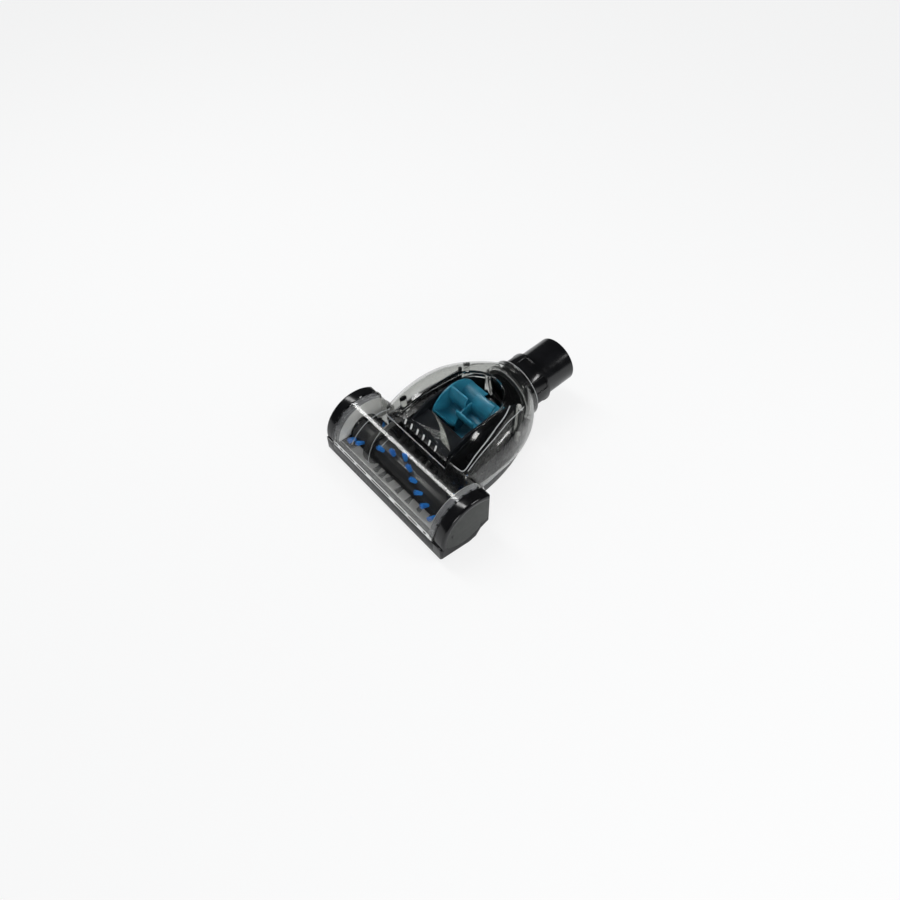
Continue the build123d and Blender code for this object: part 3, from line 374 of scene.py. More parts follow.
class Bench:
    """Shared modelling moves, all in the row frame with every object at the origin."""

    SMOOTH_MARGIN = 6.0
    CAD_MERGE = 0.000002

    materials: dict[str, bpy.types.Material] = {}

    @classmethod
    def paint(cls, piece: Piece, finish: Finish) -> None:
        """Gives a piece its finish."""
        if finish.name not in cls.materials:
            cls.materials[finish.name] = finish.material()
        piece.data.materials.clear()
        piece.data.materials.append(cls.materials[finish.name])

    @staticmethod
    def add(name: str, data: bpy.types.ID) -> Piece:
        """Adds an object with the given data to the scene."""
        piece = bpy.data.objects.new(name, data)
        bpy.context.scene.collection.objects.link(piece)
        return piece

    @staticmethod
    def pick(piece: Piece) -> None:
        """Deselects everything and makes one piece active."""
        bpy.ops.object.select_all(action="DESELECT")
        piece.select_set(True)
        bpy.context.view_layer.objects.active = piece

    @classmethod
    def clean(cls, piece: Piece, merge: float = 0.0, from_cad: bool = False) -> None:
        """Merges a mesh's doubles and puts its normals right.

        Args:
            piece: the object to clean.
            merge: the distance in metres within which points merge, or 0 for none.
            from_cad: whether to clear stored normals, rather than to turn the faces outward.
        """
        cls.pick(piece)
        bpy.ops.object.mode_set(mode="EDIT")
        bpy.ops.mesh.select_all(action="SELECT")
        if merge:
            bpy.ops.mesh.remove_doubles(threshold=merge)
        if from_cad:
            bpy.ops.mesh.customdata_custom_splitnormals_clear()
        else:
            bpy.ops.mesh.normals_make_consistent(inside=False)
        bpy.ops.object.mode_set(mode="OBJECT")

    @classmethod
    def modify(cls, piece: Piece, kind: str, **settings: object) -> None:
        """Gives a piece a modifier and applies it.

        Args:
            piece: the object to change.
            kind: the modifier's Blender type.
            settings: its settings by name.
        """
        cls.pick(piece)
        modifier = piece.modifiers.new(kind, kind)
        for name, value in settings.items():
            setattr(modifier, name, value)
        bpy.ops.object.modifier_apply(modifier=modifier.name)

    @classmethod
    def copy_of(cls, node: str, name: str) -> Piece:
        """Copies a CAD node's mesh into a new piece of the given name, with its doubles merged."""
        piece = cls.add(name, bpy.data.objects[node].data.copy())
        cls.clean(piece, cls.CAD_MERGE, from_cad=True)
        return piece

    @classmethod
    def soften(cls, piece: Piece, width: float, angle: float = 28.0, segments: int = 2) -> None:
        """Rounds a piece's sharp edges and shades it smooth.

        Args:
            piece: the object to finish.
            width: the bevel's width in millimetres.
            angle: the least angle of an edge that is rounded, in degrees.
            segments: the steps in the round.
        """
        cls.modify(piece, "BEVEL", width=width * MM, segments=segments, limit_method="ANGLE",
                   angle_limit=math.radians(angle))
        bpy.ops.object.shade_smooth_by_angle(angle=math.radians(angle + cls.SMOOTH_MARGIN))

    @classmethod
    def deliver(cls, piece: Piece, finish: Finish, body: Body, *nodes: str) -> None:
        """Paints a finished piece, makes it ride and reports it.

        Args:
            piece: the finished piece.
            finish: its finish.
            body: the body it rides on.
            nodes: the CAD nodes that it replaces.
        """
        cls.paint(piece, finish)
        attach(piece, body.value)
        if nodes:
            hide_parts(*nodes)
        LOG.info("%s: %d faces", piece.name, len(piece.data.polygons))

    @classmethod
    def grid(cls, name: str, rows: list[list[Spot]]) -> Piece:
        """Shapes a grid primitive to rows of points in millimetres from the lip, all of one length."""
        across = len(rows[0])
        bpy.ops.mesh.primitive_grid_add(x_subdivisions=across - 1, y_subdivisions=len(rows) - 1, size=1)
        piece = bpy.context.active_object
        piece.name = name
        for index, vertex in enumerate(piece.data.vertices):
            vertex.co = place(*rows[index // across][index % across])
        return piece

    @classmethod
    def wall(cls, piece: Piece, thickness: float) -> None:
        """Gives an open surface a wall on its inner side, with its thickness in millimetres."""
        cls.modify(piece, "SOLIDIFY", thickness=thickness * MM, offset=-1.0)

    @classmethod
    def panel(cls, name: str, rows: list[list[Spot]], thickness: float) -> Piece:
        """Makes a thin panel from rows of points, with its thickness in millimetres."""
        piece = cls.grid(name, rows)
        cls.wall(piece, thickness)
        return piece

    @classmethod
    def bead(cls, name: str, points: list[Spot], radius: float, closed: bool = False,
             widths: tuple[float, ...] = ()) -> Piece:
        """Makes a thin rounded bead along a smooth line.

        Args:
            name: the new piece's name.
            points: the line's points in millimetres from the lip.
            radius: the bead's radius in millimetres.
            closed: whether the line closes on itself.
            widths: the share of the radius at each point, where it changes along the line.

        Returns:
            The bead as a mesh.
        """
        curve = bpy.data.curves.new(name, "CURVE")
        curve.dimensions = "3D"
        curve.bevel_depth = radius * MM
        curve.bevel_resolution = 2
        curve.resolution_u = 6
        curve.use_fill_caps = True
        spline = curve.splines.new("NURBS")
        spline.points.add(len(points) - 1)
        for point, spot in zip(spline.points, points):
            point.co = (*place(*spot), 1)
        for point, width in zip(spline.points, widths):
            point.radius = width
        spline.order_u = 3
        spline.use_cyclic_u = closed
        spline.use_endpoint_u = not closed
        cls.pick(cls.add(name, curve))
        bpy.ops.object.convert(target="MESH")
        bpy.ops.object.shade_smooth()
        return bpy.context.active_object

    @classmethod
    def block(cls, name: str, low: Spot, high: Spot, edge: float = 0.1) -> Piece:
        """Makes a small block with rounded edges.

        Args:
            name: the new piece's name.
            low: its lowest corner in millimetres from the lip.
            high: its highest corner.
            edge: the rounding's width in millimetres.

        Returns:
            The block.
        """
        bpy.ops.mesh.primitive_cube_add(size=1)
        piece = bpy.context.active_object
        piece.name = name
        for vertex in piece.data.vertices:
            vertex.co = place(*[a if value < 0 else b for value, a, b in zip(vertex.co, low, high)])
        cls.soften(piece, edge, angle=60.0, segments=1)
        return piece

    @classmethod
    def join(cls, name: str, pieces: list[Piece]) -> Piece:
        """Joins pieces into the first one, under the given name."""
        cls.pick(pieces[0])
        for piece in pieces:
            piece.select_set(True)
        bpy.ops.object.join()
        pieces[0].name = name
        return pieces[0]


@dataclass
class Dressed:
    """A CAD node that is taken over as a finished piece with rounded edges."""

    node: str
    finish: Finish
    body: Body
    edge: float = 0.3

    def build(self) -> None:
        """Builds the piece and puts it in the node's place."""
        piece = Bench.copy_of(self.node, self.node + "_finished")
        Bench.soften(piece, self.edge)
        Bench.deliver(piece, self.finish, self.body, self.node)


@dataclass(frozen=True)
class Section:
    """The bell's cross-section at one station, in millimetres."""

    width: float
    rim: float
    top: float
    waist: float
    power: float


@dataclass
class Cover:
    """The clear hood and bell, with its ridges, rings and moulded edges."""

    wall: float = 2.0
    edge: float = 0.3
    hood_radius: float = 31.2
    hood_y: float = 32.3
    hood_z: float = 18.8
    hood_end: float = 50.4
    split: float = 16.0
    half_width: float = 55.2
    widest_y: float = 75.0
    reach: float = 80.0
    plan_power: float = 2.1
    rim_width: float = 51.5
    rim_y: float = 55.0
    rim_reach: float = 104.0
    rim_gap: float = 0.3
    top: float = 62.6
    top_y: float = 105.0
    front_y: float = 34.0
    rear_y: float = 147.0
    drop: float = 24.0
    drop_power: float = 2.2
    rear_top: float = 61.0
    waist: float = 30.0
    waist_rise: float = 3.0
    roundness: float = 4.2
    roundness_fall: float = 2.0
    seat_y: float = 151.6
    seat_z: float = 34.6
    seat_tilt: float = 4.5
    roll_y: float = 27.5
    roll_z: float = 20.0
    panel: float = 0.3

    SLOPE_STEP = 0.05
    HOOD_MATCH = 0.12
    BELL_MATCH = 0.6
    FACE_MATCH = 0.93

    def section(self, y: float, inset: float = 0.0) -> Section:
        """Gives the bell's cross-section at a station, at an inset from its outer surface."""
        plan = max(0.0, 1 - (abs(y - self.widest_y) / self.reach) ** self.plan_power)
        width = self.half_width * plan ** (1 / self.plan_power)
        rim = self.rim_width * math.sqrt(max(0.0, 1 - ((y - self.rim_y) / self.rim_reach) ** 2))
        share = max(0.0, (y - self.top_y) / (self.rear_y - self.top_y))
        top = self.top - (self.top - self.rear_top) * share ** 2
        if y < self.top_y:
            top = self.top - self.drop * ((self.top_y - y) / (self.top_y - self.front_y)) ** self.drop_power
        return Section(max(width, rim + self.rim_gap) - inset, rim - inset, top - inset,
                       self.waist + self.waist_rise * share, self.roundness - self.roundness_fall * share)

    def hood_point(self, x: float, y: float) -> Spot:
        """Gives the place on the hood over a place in plan."""
        return x, y, self.hood_z + math.sqrt(max(0.0, self.hood_radius ** 2 - (y - self.hood_y) ** 2))

    def height(self, x: float, y: float) -> float:
        """Gives the height of the outer surface over a place in plan."""
        cut = self.section(y)
        best = 0.0
        if self.front_y <= y <= self.rear_y and abs(x) < cut.width:
            rise = (1 - (abs(x) / cut.width) ** cut.power) ** (1 / cut.power)
            best = cut.waist + (cut.top - cut.waist) * rise
        if y < self.hood_end and abs(y - self.hood_y) < self.hood_radius:
            best = max(best, self.hood_point(x, y)[2])
        return best

    def field(self, spot: Vector, inset: float) -> float:
        """Gives a value that is zero on the bell's surface, at the given inset, and grows outward."""
        cut = self.section(spot.y, inset)
        if spot.z > cut.waist:
            lift = (spot.z - cut.waist) / (cut.top - cut.waist)
            return (abs(spot.x) / cut.width) ** cut.power + lift ** cut.power - 1
        rise = max(0.0, (spot.z - self.split) / (cut.waist - self.split))
        return abs(spot.x) / (cut.rim + (cut.width - cut.rim) * math.sin(rise * math.pi / 2)) - 1

    def true_normal(self, spot: Vector, inset: float) -> Vector | None:
        """Gives the exact normal of the hood or the bell.

        Args:
            spot: a place in millimetres from the lip.
            inset: how far inside the outer surface it should lie.

        Returns:
            The outward unit normal, or None where the place lies on neither form.
        """
        reach = math.hypot(spot.y - self.hood_y, spot.z - self.hood_z)
        if abs(reach - self.hood_radius + inset) < self.HOOD_MATCH and spot.z > self.split:
            return Vector((0, spot.y - self.hood_y, spot.z - self.hood_z)).normalized()
        if not (self.front_y + 3 < spot.y < self.rear_y and spot.z > self.split - 0.1):
            return None
        steps = [axis * self.SLOPE_STEP for axis in Matrix.Identity(3)]
        slope = Vector([(self.field(spot + step, inset) - self.field(spot - step, inset)) / (2 * self.SLOPE_STEP)
                        for step in steps])
        return slope.normalized() if abs(self.field(spot, inset)) < self.BELL_MATCH * slope.length else None

    def smooth_normals(self, piece: Piece) -> None:
        """Gives the cover's faces the exact normals of its curved form, so that it reflects without facets.

        Args:
            piece: the cover.
        """
        mesh = piece.data
        found: dict[tuple[int, float], Vector | None] = {}
        normals = [corner.vector.copy() for corner in mesh.corner_normals]
        for polygon in mesh.polygons:
            for loop_index in polygon.loop_indices:
                vertex_index = mesh.loops[loop_index].vertex_index
                for inset in (0.0, self.wall):
                    key = (vertex_index, inset)
                    if key not in found:
                        found[key] = self.true_normal(from_lip(mesh.vertices[vertex_index].co), inset)
                    normal = found[key]
                    if normal is not None and abs(normal.dot(polygon.normal)) > self.FACE_MATCH:
                        normals[loop_index] = normal if normal.dot(polygon.normal) > 0 else -normal
                        break
        mesh.normals_split_custom_set(normals)

    def ridge(self, name: str, line: list[Pair], radius: float) -> Piece:
        """Makes a raised ridge that follows the cover's surface over a line in plan."""
        return Bench.bead(name, [(x, y, self.height(x, y)) for x, y in line], radius)

    def build(self) -> None:
        """Builds the cover and its details."""
        piece = Bench.copy_of("top_cover", "clear_cover")
        Bench.soften(piece, self.edge)
        self.smooth_normals(piece)
        Bench.deliver(piece, CLEAR, Body.HOUSING, "top_cover")
        self.ridges()
        self.edges()
        self.hood_lines()
        self.end_rings()
        self.end_walls()
        self.foot_strip()

    def ridges(self) -> None:
        """Adds the ridges on the bell and a bead along the top of the low wall, both drawn pale as painted highlight
        lines, and the dark line at the rear.
        """
        low = [(x, y, along(LOW_WALL_TOP, y) + 0.3) for x, y in LOW_WALL_LINE]
        ridges = [self.ridge("inner_ridge", INNER_RIDGE, 0.45), self.ridge("outer_ridge", OUTER_RIDGE, 0.32),
                  Bench.bead("low_wall_line", low, 0.35)]
        Bench.deliver(Bench.join("cover_ridges", ridges), EDGE_HIGHLIGHT, Body.HOUSING)
        Bench.deliver(self.ridge("rear_line", REAR_LINE, 0.3), BASE_BLACK, Body.HOUSING)

    def seat_circle(self, gap: float, radius: float, steps: int = 32) -> list[Spot]:
        """Gives points on a circle round the neck's seat, at a gap in front of the seat's end."""
        tilt = math.radians(self.seat_tilt)
        points = []
        for step in range(steps):
            angle = 2 * math.pi * step / steps
            z = radius * math.sin(angle)
            points.append((radius * math.cos(angle), self.seat_y - gap * math.cos(tilt) - z * math.sin(tilt),
                           self.seat_z - gap * math.sin(tilt) + z * math.cos(tilt)))
        return points

    def edges(self) -> None:
        """Adds the pale line where the bell meets the base and the rings round the neck's seat, all painted
        highlight lines standing in for light along these edges.
        """
        first, length, steps, shoulder_foot = 51.5, 94.0, 15, 45.0
        stations = [first + length * (step / steps) for step in range(steps + 1)]
        lines = [Bench.bead("foot_line", [(side * (self.section(y).rim + 0.1), y, self.split + 0.15)
                                          for y in stations], 0.55) for side in SIDES]
        lines.append(Bench.bead("seat_ring", self.seat_circle(0.2, 27.0), 0.3, closed=True))
        shoulder = [spot for spot in self.seat_circle(12.9, 27.05) if spot[2] > shoulder_foot]
        lines.append(Bench.bead("seat_shoulder", shoulder, 0.25))
        Bench.deliver(Bench.join("cover_edges", lines), EDGE_HIGHLIGHT, Body.HOUSING)

    def hood_lines(self) -> None:
        """Adds the fine lines near the hood's left end, drawn pale as painted highlight lines."""
        plans = (("left_line", LEFT_LINE, 0.28), ("swept_line", SWEPT_LINE, 0.22), ("short_line", SHORT_LINE, 0.2))
        lines = [Bench.bead(name, [self.hood_point(x, y) for x, y in plan], radius)
                 for name, plan, radius in plans]
        Bench.deliver(Bench.join("hood_lines", lines), EDGE_HIGHLIGHT, Body.HOUSING)

    def arc(self, inset: float, start: float, sweep: float, steps: int) -> list[Pair]:
        """Gives Y and Z on an arc inside the hood's inner face, from a start in degrees up from +Y."""
        radius = self.hood_radius - self.wall - inset
        angles = [math.radians(start + step * sweep / steps) for step in range(steps + 1)]
        return [(self.hood_y + radius * math.cos(angle), self.hood_z + radius * math.sin(angle))
                for angle in angles]

    def end_rings(self) -> None:
        """Adds the hazy band inside each end of the hood."""
        arc = self.arc(0.1, 57, 118, 36)
        stations = (60.8, 62.8, 64.8, 66.6)
        rings = [Bench.panel("end_ring", [[(side * x, y, z) for x in stations] for y, z in arc], self.panel)
                 for side in SIDES]
        Bench.deliver(Bench.join("end_rings", rings), HAZE, Body.HOUSING)

    def end_walls(self) -> None:
        """Adds the pale wall inside each end of the hood, open round the roll."""
        wall_x, shares = 60.3, (0.5, 0.62, 0.75, 0.88, 1.0)
        arc = [(y, max(self.split + 0.4, z)) for y, z in self.arc(0.5, 5, 170, 32)]
        walls = []
        for side in SIDES:
            rows = [[(side * wall_x, self.roll_y + (y - self.roll_y) * share,
                      self.roll_z + (z - self.roll_z) * share) for share in shares] for y, z in arc]
            walls.append(Bench.panel("end_wall", rows, self.panel))
        Bench.deliver(Bench.join("end_walls", walls), END_GREY, Body.HOUSING)

    def foot_strip(self) -> None:
        """Adds the strip along the hood's foot and the ledge's edge, both drawn pale as painted highlight lines, and
        the dark dashes.
        """
        ledge_y, ledge_z, dash_y, dash_z = 7.5, 16.05, 0.55, 18.3
        strip = Bench.panel("foot_strip", [[(x, y, z) for x in STRIP_STATIONS] for y, z in STRIP_SECTION], 0.25)
        ledge = Bench.bead("ledge_edge", [(x, ledge_y, ledge_z) for x in LEDGE_STATIONS], 0.28)
        # Painted highlight: the strip and the ledge's edge stand in for light caught along the clear foot.
        Bench.deliver(Bench.join("foot_lines", [strip, ledge]), PAINTED_HIGHLIGHT, Body.HOUSING)
        marks = [Bench.bead("foot_mark", [(x, dash_y, dash_z) for x in (start, (start + end) / 2, end)], 0.5)
                 for start, end in DASHES]
        Bench.deliver(Bench.join("foot_marks", marks), BASE_BLACK, Body.HOUSING)


@dataclass
class Window:
    """The raised clear window over the turbine, with its row of slots."""

    rear_y: float = 98.8
    rear_radius: float = 27.7
    crown_y: float = 98.0
    crown_z: float = 64.2
    rear_drop: float = 1.0
    rear_reach: float = 52.0
    face_y: float = 42.3
    face_z: float = 48.9
    brow_y: float = 46.0
    brow_z: float = 57.6
    arch: float = 115.0
    rounding: float = 2.4
    flange_end: float = 43.0
    flange_rounding: float = 0.3
    arch_start: float = 6.0
    skirt: float = 4.6
    front_skirt: float = 1.8
    wall: float = 1.6
    slots: int = 6
    pitch: float = 7.6
    slot_rise: float = 3.8
    slot_radius: float = 1.35
    slot_half: float = 1.9

    def half_width(self, y: float) -> float:
        """Gives the window's half width at a station."""
        if y >= self.rear_y:
            return math.sqrt(max(0.0, self.rear_radius ** 2 - (y - self.rear_y) ** 2))
        return along(WINDOW_SIDE, y)

    def roof(self, y: float) -> float:
        """Gives the height along the middle: the flange, the steep face, then the crowned roof."""
        front_y, front_z = WINDOW_FACE[-1]
        if y <= front_y:
            return along(WINDOW_FACE, y)
        if y < self.crown_y:
            share = (self.crown_y - y) / (self.crown_y - front_y)
            return self.crown_z - (self.crown_z - front_z) * share ** 2
        return self.crown_z - self.rear_drop * ((y - self.crown_y) / self.rear_reach) ** 2

    def lid(self, x: float, y: float, half: float) -> float:
        """Gives the roof's height at a place, rounded off towards the window's side."""
        sag = self.arch - math.sqrt(self.arch ** 2 - x * x)
        depth = half - abs(x)
        if y > self.rear_y:
            depth = self.rear_radius - math.hypot(x, y - self.rear_y)
        radius = self.rounding if y > self.flange_end else self.flange_rounding
        bite = radius - min(radius, max(0.0, depth))
        drop = radius - math.sqrt(max(0.0, radius ** 2 - bite ** 2))
        arched = min(1.0, max(0.0, (y - self.flange_end) / self.arch_start))
        return self.roof(y) - sag * arched - drop

    def surface(self) -> Piece:
        """Shapes the outer surface as a grid with a rounded shoulder and a skirt."""
        stations = [*FRONT_STATIONS, *(54.0 + 2.5 * step for step in range(18))]
        stations += [self.rear_y + self.rear_radius * math.sin(math.radians(angle)) for angle in range(0, 90, 3)]
        stations += [self.rear_y + self.rear_radius * 0.99999]
        shares = sorted({round(math.sin(math.radians(angle)), 5) for angle in range(-90, 91, 4)} | {-1.0, 1.0})
        rows = []
        for y in stations:
            half = self.half_width(y)
            rows.append([(share * half, y, self.lid(share * half, y, half)) for share in shares])
        for row in rows:
            row.insert(0, (row[0][0], row[0][1], row[0][2] - self.skirt))
            row.append((row[-1][0], row[-1][1], row[-1][2] - self.skirt))
        rows.insert(0, [(x, y, z - self.front_skirt) for x, y, z in rows[0]])
        return Bench.grid("clear_window", rows)

    def slot_point(self, index: int, across: float, length: float, depth: float) -> Spot:
        """Gives a place in or near one of the slots.

        Args:
            index: the slot's number from the left.
            across: the distance to the right of the slot's middle.
            length: the distance up the steep face from the slot's middle.
            depth: the distance out of the face.

        Returns:
            The place in millimetres from the lip.
        """
        slope = math.atan2(self.brow_z - self.face_z, self.brow_y - self.face_y)
        up = Vector((0, math.cos(slope), math.sin(slope)))
        out = Vector((0, -math.sin(slope), math.cos(slope)))
        middle = Vector((0, self.face_y, self.face_z)) + up * self.slot_rise
        x = (index - (self.slots - 1) / 2) * self.pitch
        return tuple(Vector((x + across, 0, 0)) + middle + up * length + out * depth)

    def slot_end(self, length: float) -> float:
        """Moves a point of a circle to the slot's upper or lower round end."""
        return length + (self.slot_half if length > 0 else -self.slot_half)

    def cut_slots(self, piece: Piece) -> None:
        """Cuts the row of rounded slots through the steep face.

        Args:
            piece: the window with its wall.
        """
        cutters = []
        for index in range(self.slots):
            bpy.ops.mesh.primitive_cylinder_add(vertices=20, radius=self.slot_radius, depth=8.0)
            cutter = bpy.context.active_object
            for vertex in cutter.data.vertices:
                x, y, z = vertex.co
                vertex.co = place(*self.slot_point(index, x, self.slot_end(y), z))
            cutters.append(cutter)
        cutter = Bench.join("slot_cutter", cutters)
        Bench.clean(cutter)
        Bench.modify(piece, "BOOLEAN", operation="DIFFERENCE", solver="EXACT", object=cutter)
        bpy.data.objects.remove(cutter, do_unlink=True)

    def slot_edges(self) -> None:
        """Adds the dark rim and the pale inner glint of each slot: the black rim bead is painted shade at the slot's
        edge, and the pale bead is a painted highlight standing in for light on the slot's inner wall.
        """
        rims, glints = [], []
        turns = [2 * math.pi * step / 16 for step in range(16)]
        for index in range(self.slots):
            middle_line = [self.slot_point(index, -0.45, length, -0.55) for length in (-2.4, 0.0, 2.4)]
            glints.append(Bench.bead("slot_glint", middle_line, 0.8))
            outline = [self.slot_point(index, self.slot_radius * math.cos(turn),
                                       self.slot_end(self.slot_radius * math.sin(turn)), 0.05) for turn in turns]
            rims.append(Bench.bead("slot_rim", outline, 0.22, closed=True))
        # The black rims are painted shade round each slot's edge.
        Bench.deliver(Bench.join("slot_rims", rims), MARK_GREY, Body.HOUSING)
        Bench.deliver(Bench.join("slot_glints", glints), PAINTED_HIGHLIGHT, Body.HOUSING)

    def build(self) -> None:
        """Builds the window, its front edge line and the painted reflection streak under it."""
        piece = self.surface()
        Bench.clean(piece, merge=0.000001)
        Bench.wall(piece, self.wall)
        self.cut_slots(piece)
        self.slot_edges()
        Bench.pick(piece)
        bpy.ops.object.shade_smooth_by_angle(angle=math.radians(34))
        Bench.deliver(piece, WINDOW_CLEAR, Body.HOUSING, "turbine_window")
        front = [(x, 38.1, 49.62) for x in (-36.8, -18.0, 0.0, 18.0, 36.8)]
        # The window's front line is a pale bead: a painted highlight along the window's front edge.
        Bench.deliver(Bench.bead("window_front_line", front, 0.24), EDGE_HIGHLIGHT, Body.HOUSING)
        # Painted reflection: layered pale beads that thin out towards both ends.
        streak = [Bench.bead("air_guide", [(x, y, z - depth) for x, y, z in STREAK_LINE], radius, widths=STREAK_WIDTHS)
                 for radius, depth in STREAK_LAYERS]
        Bench.deliver(Bench.join("air_guide", streak), PAINTED_STREAK, Body.HOUSING)


@dataclass
class Bristles:
    """Tufts of splayed nylon bristles in rows round the roll."""

    name: str
    node: str
    finish: Finish
    start: float
    roll_y: float = 27.5
    roll_z: float = 20.0
    roll_radius: float = 12.5
    root_depth: float = 0.8
    tip_radius: float = 19.2
    ragged: float = 0.7
    sweep: float = 91.0
    half_length: float = 58.0
    pitch: float = 10.6
    per_row: int = 11
    belt_x: float = -34.0
    belt_width: float = 5.0
    strands: int = 26
    tuft_radius: float = 1.3
    splay: float = 1.75
    lean: float = 1.2
    jitter: float = 0.25

    GOLDEN_ANGLE = 2.399963
    SHAPES = 3

    def bundle(self, seed: int) -> bpy.types.Mesh:
        """Makes one tuft that stands along +Z from the roll's axis.

        Args:
            seed: the number that its small differences come from.

        Returns:
            The tuft's mesh in millimetres.
        """
        rng = random.Random(seed)
        bpy.ops.mesh.primitive_cone_add(vertices=5, radius1=0.3, radius2=0.22, depth=1.0)
        strand = bpy.context.active_object
        strands = []
        for index in range(self.strands):
            reach = self.tuft_radius * math.sqrt((index + 0.5) / self.strands)
            turn = index * self.GOLDEN_ANGLE
            root = Vector((reach * math.cos(turn), reach * math.sin(turn), self.roll_radius - self.root_depth))
            splay = self.splay + rng.uniform(-self.jitter, self.jitter)
            tip_x = root.x * splay + rng.uniform(-self.jitter, self.jitter) - self.lean
            tip_y = root.y * splay + rng.uniform(-self.jitter, self.jitter)
            tip = Vector((tip_x, tip_y, self.tip_radius - rng.uniform(0.0, self.ragged)))
            axis = tip - root
            turned = axis.to_track_quat("Z", "Y").to_matrix().to_4x4()
            scale = Matrix.Diagonal((1, 1, axis.length, 1))
            copy = Bench.add("strand", strand.data.copy())
            copy.data.transform(Matrix.Translation((root + tip) / 2) @ turned @ scale)
            strands.append(copy)
        bpy.data.objects.remove(strand, do_unlink=True)
        joined = Bench.join("tuft", strands)
        mesh = joined.data.copy()
        bpy.data.objects.remove(joined, do_unlink=True)
        return mesh

    def build(self) -> None:
        """Builds every tuft of this colour and joins them."""
        bundles = [self.bundle(seed) for seed in range(self.SHAPES)]
        tufts = []
        for row in range(2):
            for index in range(self.per_row):
                x = (index - (self.per_row - 1) / 2) * self.pitch
                if abs(x - self.belt_x) <= self.belt_width:
                    continue
                angle = self.start + 180 * row + self.sweep * abs(x) / self.half_length
                turn = Matrix.Rotation(math.radians(angle - 90), 4, "X")
                mesh = bundles[(index + row) % self.SHAPES].copy()
                mesh.transform(Matrix.Translation((x, self.roll_y - LIP_TO_CENTRE, self.roll_z)) @ turn)
                mesh.transform(Matrix.Scale(MM, 4))
                tufts.append(Bench.add("tuft", mesh))
        piece = Bench.join(self.name, tufts)
        Bench.pick(piece)
        bpy.ops.object.shade_smooth_by_angle(angle=math.radians(50))
        Bench.deliver(piece, self.finish, Body.BRUSH, self.node)


@dataclass
class CapMarks:
    """The generic lock and arrow marks on each cap's plate, and the small teeth along the cap's edge."""

    face_x: float = 77.5
    mark_depth: float = 0.3
    mark_relief: float = 0.02
    lock: Pair = (41.9, 15.5)
    arrow: Pair = (11.3, 24.4)
    hood_y: float = 32.3
    hood_z: float = 18.8
    tooth_radius: float = 31.75
    tooth_span: Pair = (65.9, 67.5)
    tooth_angles: tuple[int, ...] = (64, 78, 92, 106, 120, 134, 148)

    def marks_on(self, side: int) -> list[Piece]:
        """Makes the blocks of both marks on one side."""
        x0, x1 = sorted((side * (self.face_x - self.mark_depth), side * (self.face_x + self.mark_relief)))
        return [Bench.block("mark", (x0, y + y0, z + z0), (x1, y + y1, z + z1), 0.02)
                for (y, z), blocks in ((self.lock, LOCK_BLOCKS), (self.arrow, ARROW_BLOCKS))
                for y0, z0, y1, z1 in blocks]

    def teeth_on(self, side: int) -> list[Piece]:
        """Makes the teeth on one side."""
        x0, x1 = sorted(side * x for x in self.tooth_span)
        teeth = []
        for degrees in self.tooth_angles:
            y = self.hood_y + self.tooth_radius * math.cos(math.radians(degrees))
            z = self.hood_z + self.tooth_radius * math.sin(math.radians(degrees))
            teeth.append(Bench.block("tooth", (x0, y - 0.9, z - 0.35), (x1, y + 0.9, z + 0.2)))
        return teeth

    def build(self) -> None:
        """Builds the marks and teeth on both sides."""
        marks = [block for side in SIDES for block in self.marks_on(side)]
        teeth = [block for side in SIDES for block in self.teeth_on(side)]
        Bench.deliver(Bench.join("cap_marks", marks), MARK_GREY, Body.HOUSING)
        Bench.deliver(Bench.join("cap_teeth", teeth), GLOSS_BLACK, Body.HOUSING)


@dataclass(frozen=True)
class SoftBox:
    """A rectangular lamp that faces the part, with its size in metres and its power in watts."""

    name: str
    azimuth: float
    elevation: float
    size: Pair
    power: float


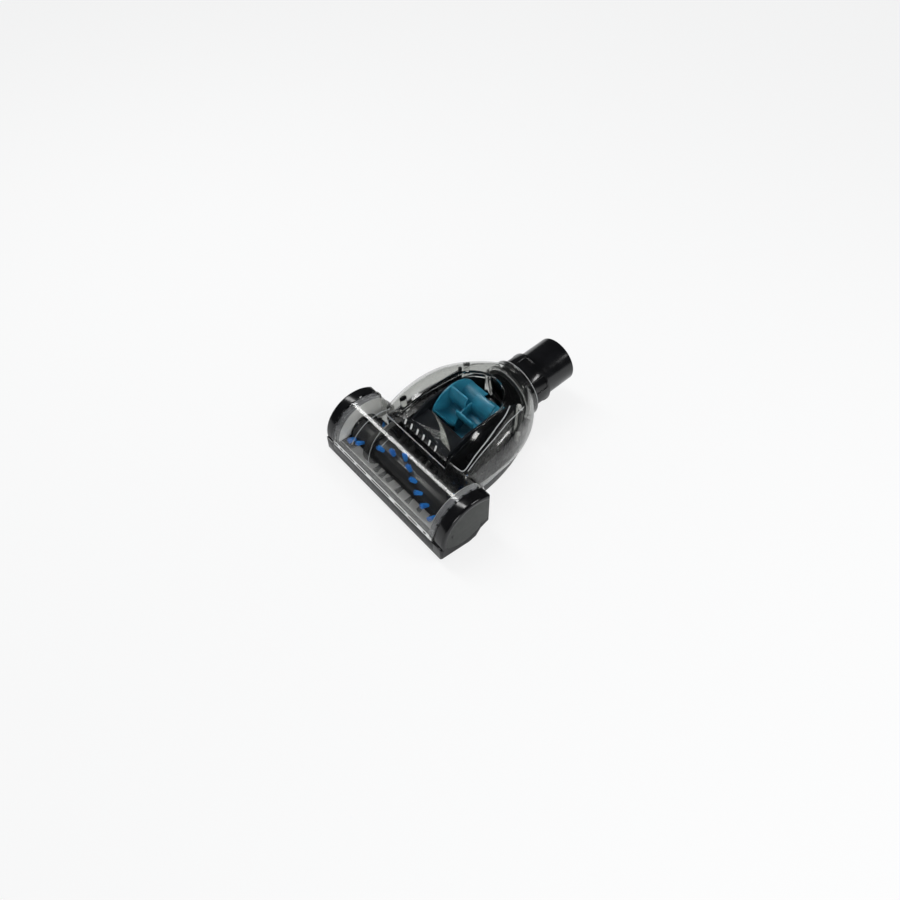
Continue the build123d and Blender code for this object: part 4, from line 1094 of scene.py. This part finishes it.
@dataclass
class Studio:
    """The camera, the lamps, the world and the floor."""

    azimuth: float = 49.8
    elevation: float = 50.5
    roll: float = -0.4
    distance: float = 0.6602
    target: Spot = (0.0074, -0.0329, 0.0206)
    focal_pixels: float = 783.5
    frame_pixels: float = 900.0
    sensor: float = 36.0
    lamp_target: Spot = (0, 0, 0.03)
    lamp_distance: float = 0.9
    floor_size: float = 24.0
    floor_glow: float = 0.78
    floor_through: float = 0.1
    lamps: tuple[SoftBox, ...] = (
        SoftBox("strip", -80.0, 60.0, (0.12, 0.6), 2.5),
        SoftBox("front", 62.0, 18.0, (0.3, 0.2), 1.4),
        SoftBox("side", 122.0, 38.0, (0.3, 0.12), 1.6),
    )

    @staticmethod
    def back(azimuth: float, elevation: float) -> Vector:
        """Gives the unit direction to a viewer, from degrees round from -Y towards +X and above the floor."""
        a, e = math.radians(azimuth), math.radians(elevation)
        return Vector((math.sin(a) * math.cos(e), -math.cos(a) * math.cos(e), math.sin(e)))

    def camera(self) -> None:
        """Places the camera at the photograph's viewing angle."""
        data = bpy.data.cameras.new("camera")
        data.sensor_width = self.sensor
        data.lens = self.sensor * self.focal_pixels / self.frame_pixels
        data.clip_start = 0.01
        camera = Bench.add("camera", data)
        back = self.back(self.azimuth, self.elevation)
        right = Vector((0, 0, 1)).cross(back).normalized()
        up = back.cross(right)
        turn = math.radians(self.roll)
        side = right * math.cos(turn) + up * math.sin(turn)
        top = up * math.cos(turn) - right * math.sin(turn)
        basis = Matrix((side, top, back)).transposed().to_4x4()
        basis.translation = Vector(self.target) + back * self.distance
        camera.matrix_world = basis
        bpy.context.scene.camera = camera

    def light(self, box: SoftBox) -> None:
        """Adds one of the lamps."""
        data = bpy.data.lights.new(box.name, "AREA")
        data.shape = "RECTANGLE"
        data.size, data.size_y = box.size
        data.energy = box.power
        lamp = Bench.add(box.name, data)
        back = self.back(box.azimuth, box.elevation)
        lamp.location = Vector(self.lamp_target) + back * self.lamp_distance
        lamp.rotation_euler = back.to_track_quat("Z", "Y").to_euler()

    @staticmethod
    def world() -> None:
        """Gives a plain grey room that the camera sees as white and reflections see as dark."""
        world = bpy.data.worlds.new("room")
        bpy.context.scene.world = world
        nodes = NodeTree(world, "ShaderNodeOutputWorld")
        plain = nodes.node("ShaderNodeBackground", Color=(0.96, 0.98, 1.0, 1), Strength=0.5)
        dark = nodes.node("ShaderNodeBackground", Color=(0.9, 0.95, 1.0, 1), Strength=0.05)
        white = nodes.node("ShaderNodeBackground", Color=(1, 1, 1, 1))
        seen, mirrored = nodes.straight_rays()
        nodes.finish(nodes.blend(seen, nodes.blend(mirrored, plain, dark), white))

    def floor(self) -> None:
        """Lays a pale floor that keeps the part's soft shadow."""
        bpy.ops.mesh.primitive_plane_add(size=self.floor_size, location=(0, 0, -0.0001))
        floor = bpy.context.active_object
        floor.name = "floor"
        nodes = NodeTree.of_material("pale_floor")
        matt = nodes.node("ShaderNodeBsdfDiffuse", Color=(0.9, 0.9, 0.9, 1))
        glow = nodes.node("ShaderNodeEmission", Color=(1, 1, 1, 1), Strength=1.0)
        seen, _ = nodes.straight_rays(self.floor_through)
        share = nodes.compute("MULTIPLY", seen, self.floor_glow)
        floor.data.materials.append(nodes.finish(nodes.blend(share, matt, glow)))

    def build(self) -> None:
        """Builds the whole studio."""
        self.camera()
        self.world()
        self.floor()
        for box in self.lamps:
            self.light(box)
        bpy.context.scene.view_settings.view_transform = "Standard"


def main() -> None:
    """Builds the pieces in order and reports each one."""
    logging.basicConfig(level=logging.INFO)
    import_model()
    Studio().build()
    for side in ("left", "right"):
        Dressed(f"{side}_end_cap", GLOSS_BLACK, Body.HOUSING).build()
        Dressed(f"{side}_cap_face", FACE_GREY, Body.HOUSING, 0.1).build()
    CapMarks().build()
    Dressed("base_housing", BASE_BLACK, Body.HOUSING).build()
    Cover().build()
    Window().build()
    Dressed("turbine_duct", DECK_BLACK, Body.HOUSING).build()
    Dressed("belt_cover", BASE_BLACK, Body.HOUSING).build()
    Dressed("brush_tube", ROLLER, Body.BRUSH).build()
    Bristles("blue_bristles", "blue_tufts", BLUE_BRISTLE, 88.0).build()
    Bristles("black_bristles", "black_tufts", BLACK_BRISTLE, 178.0).build()
    Dressed("turbine_wheel", TEAL, Body.TURBINE).build()
    Dressed("neck_tube", GLOSS_BLACK, Body.NECK).build()
    Dressed("neck_collar", GLOSS_BLACK, Body.NECK).build()
    for finish, nodes in PLAIN_NODES.items():
        for node in nodes:
            Bench.paint(bpy.data.objects[node], finish)


if __name__ == "__main__":
    main()
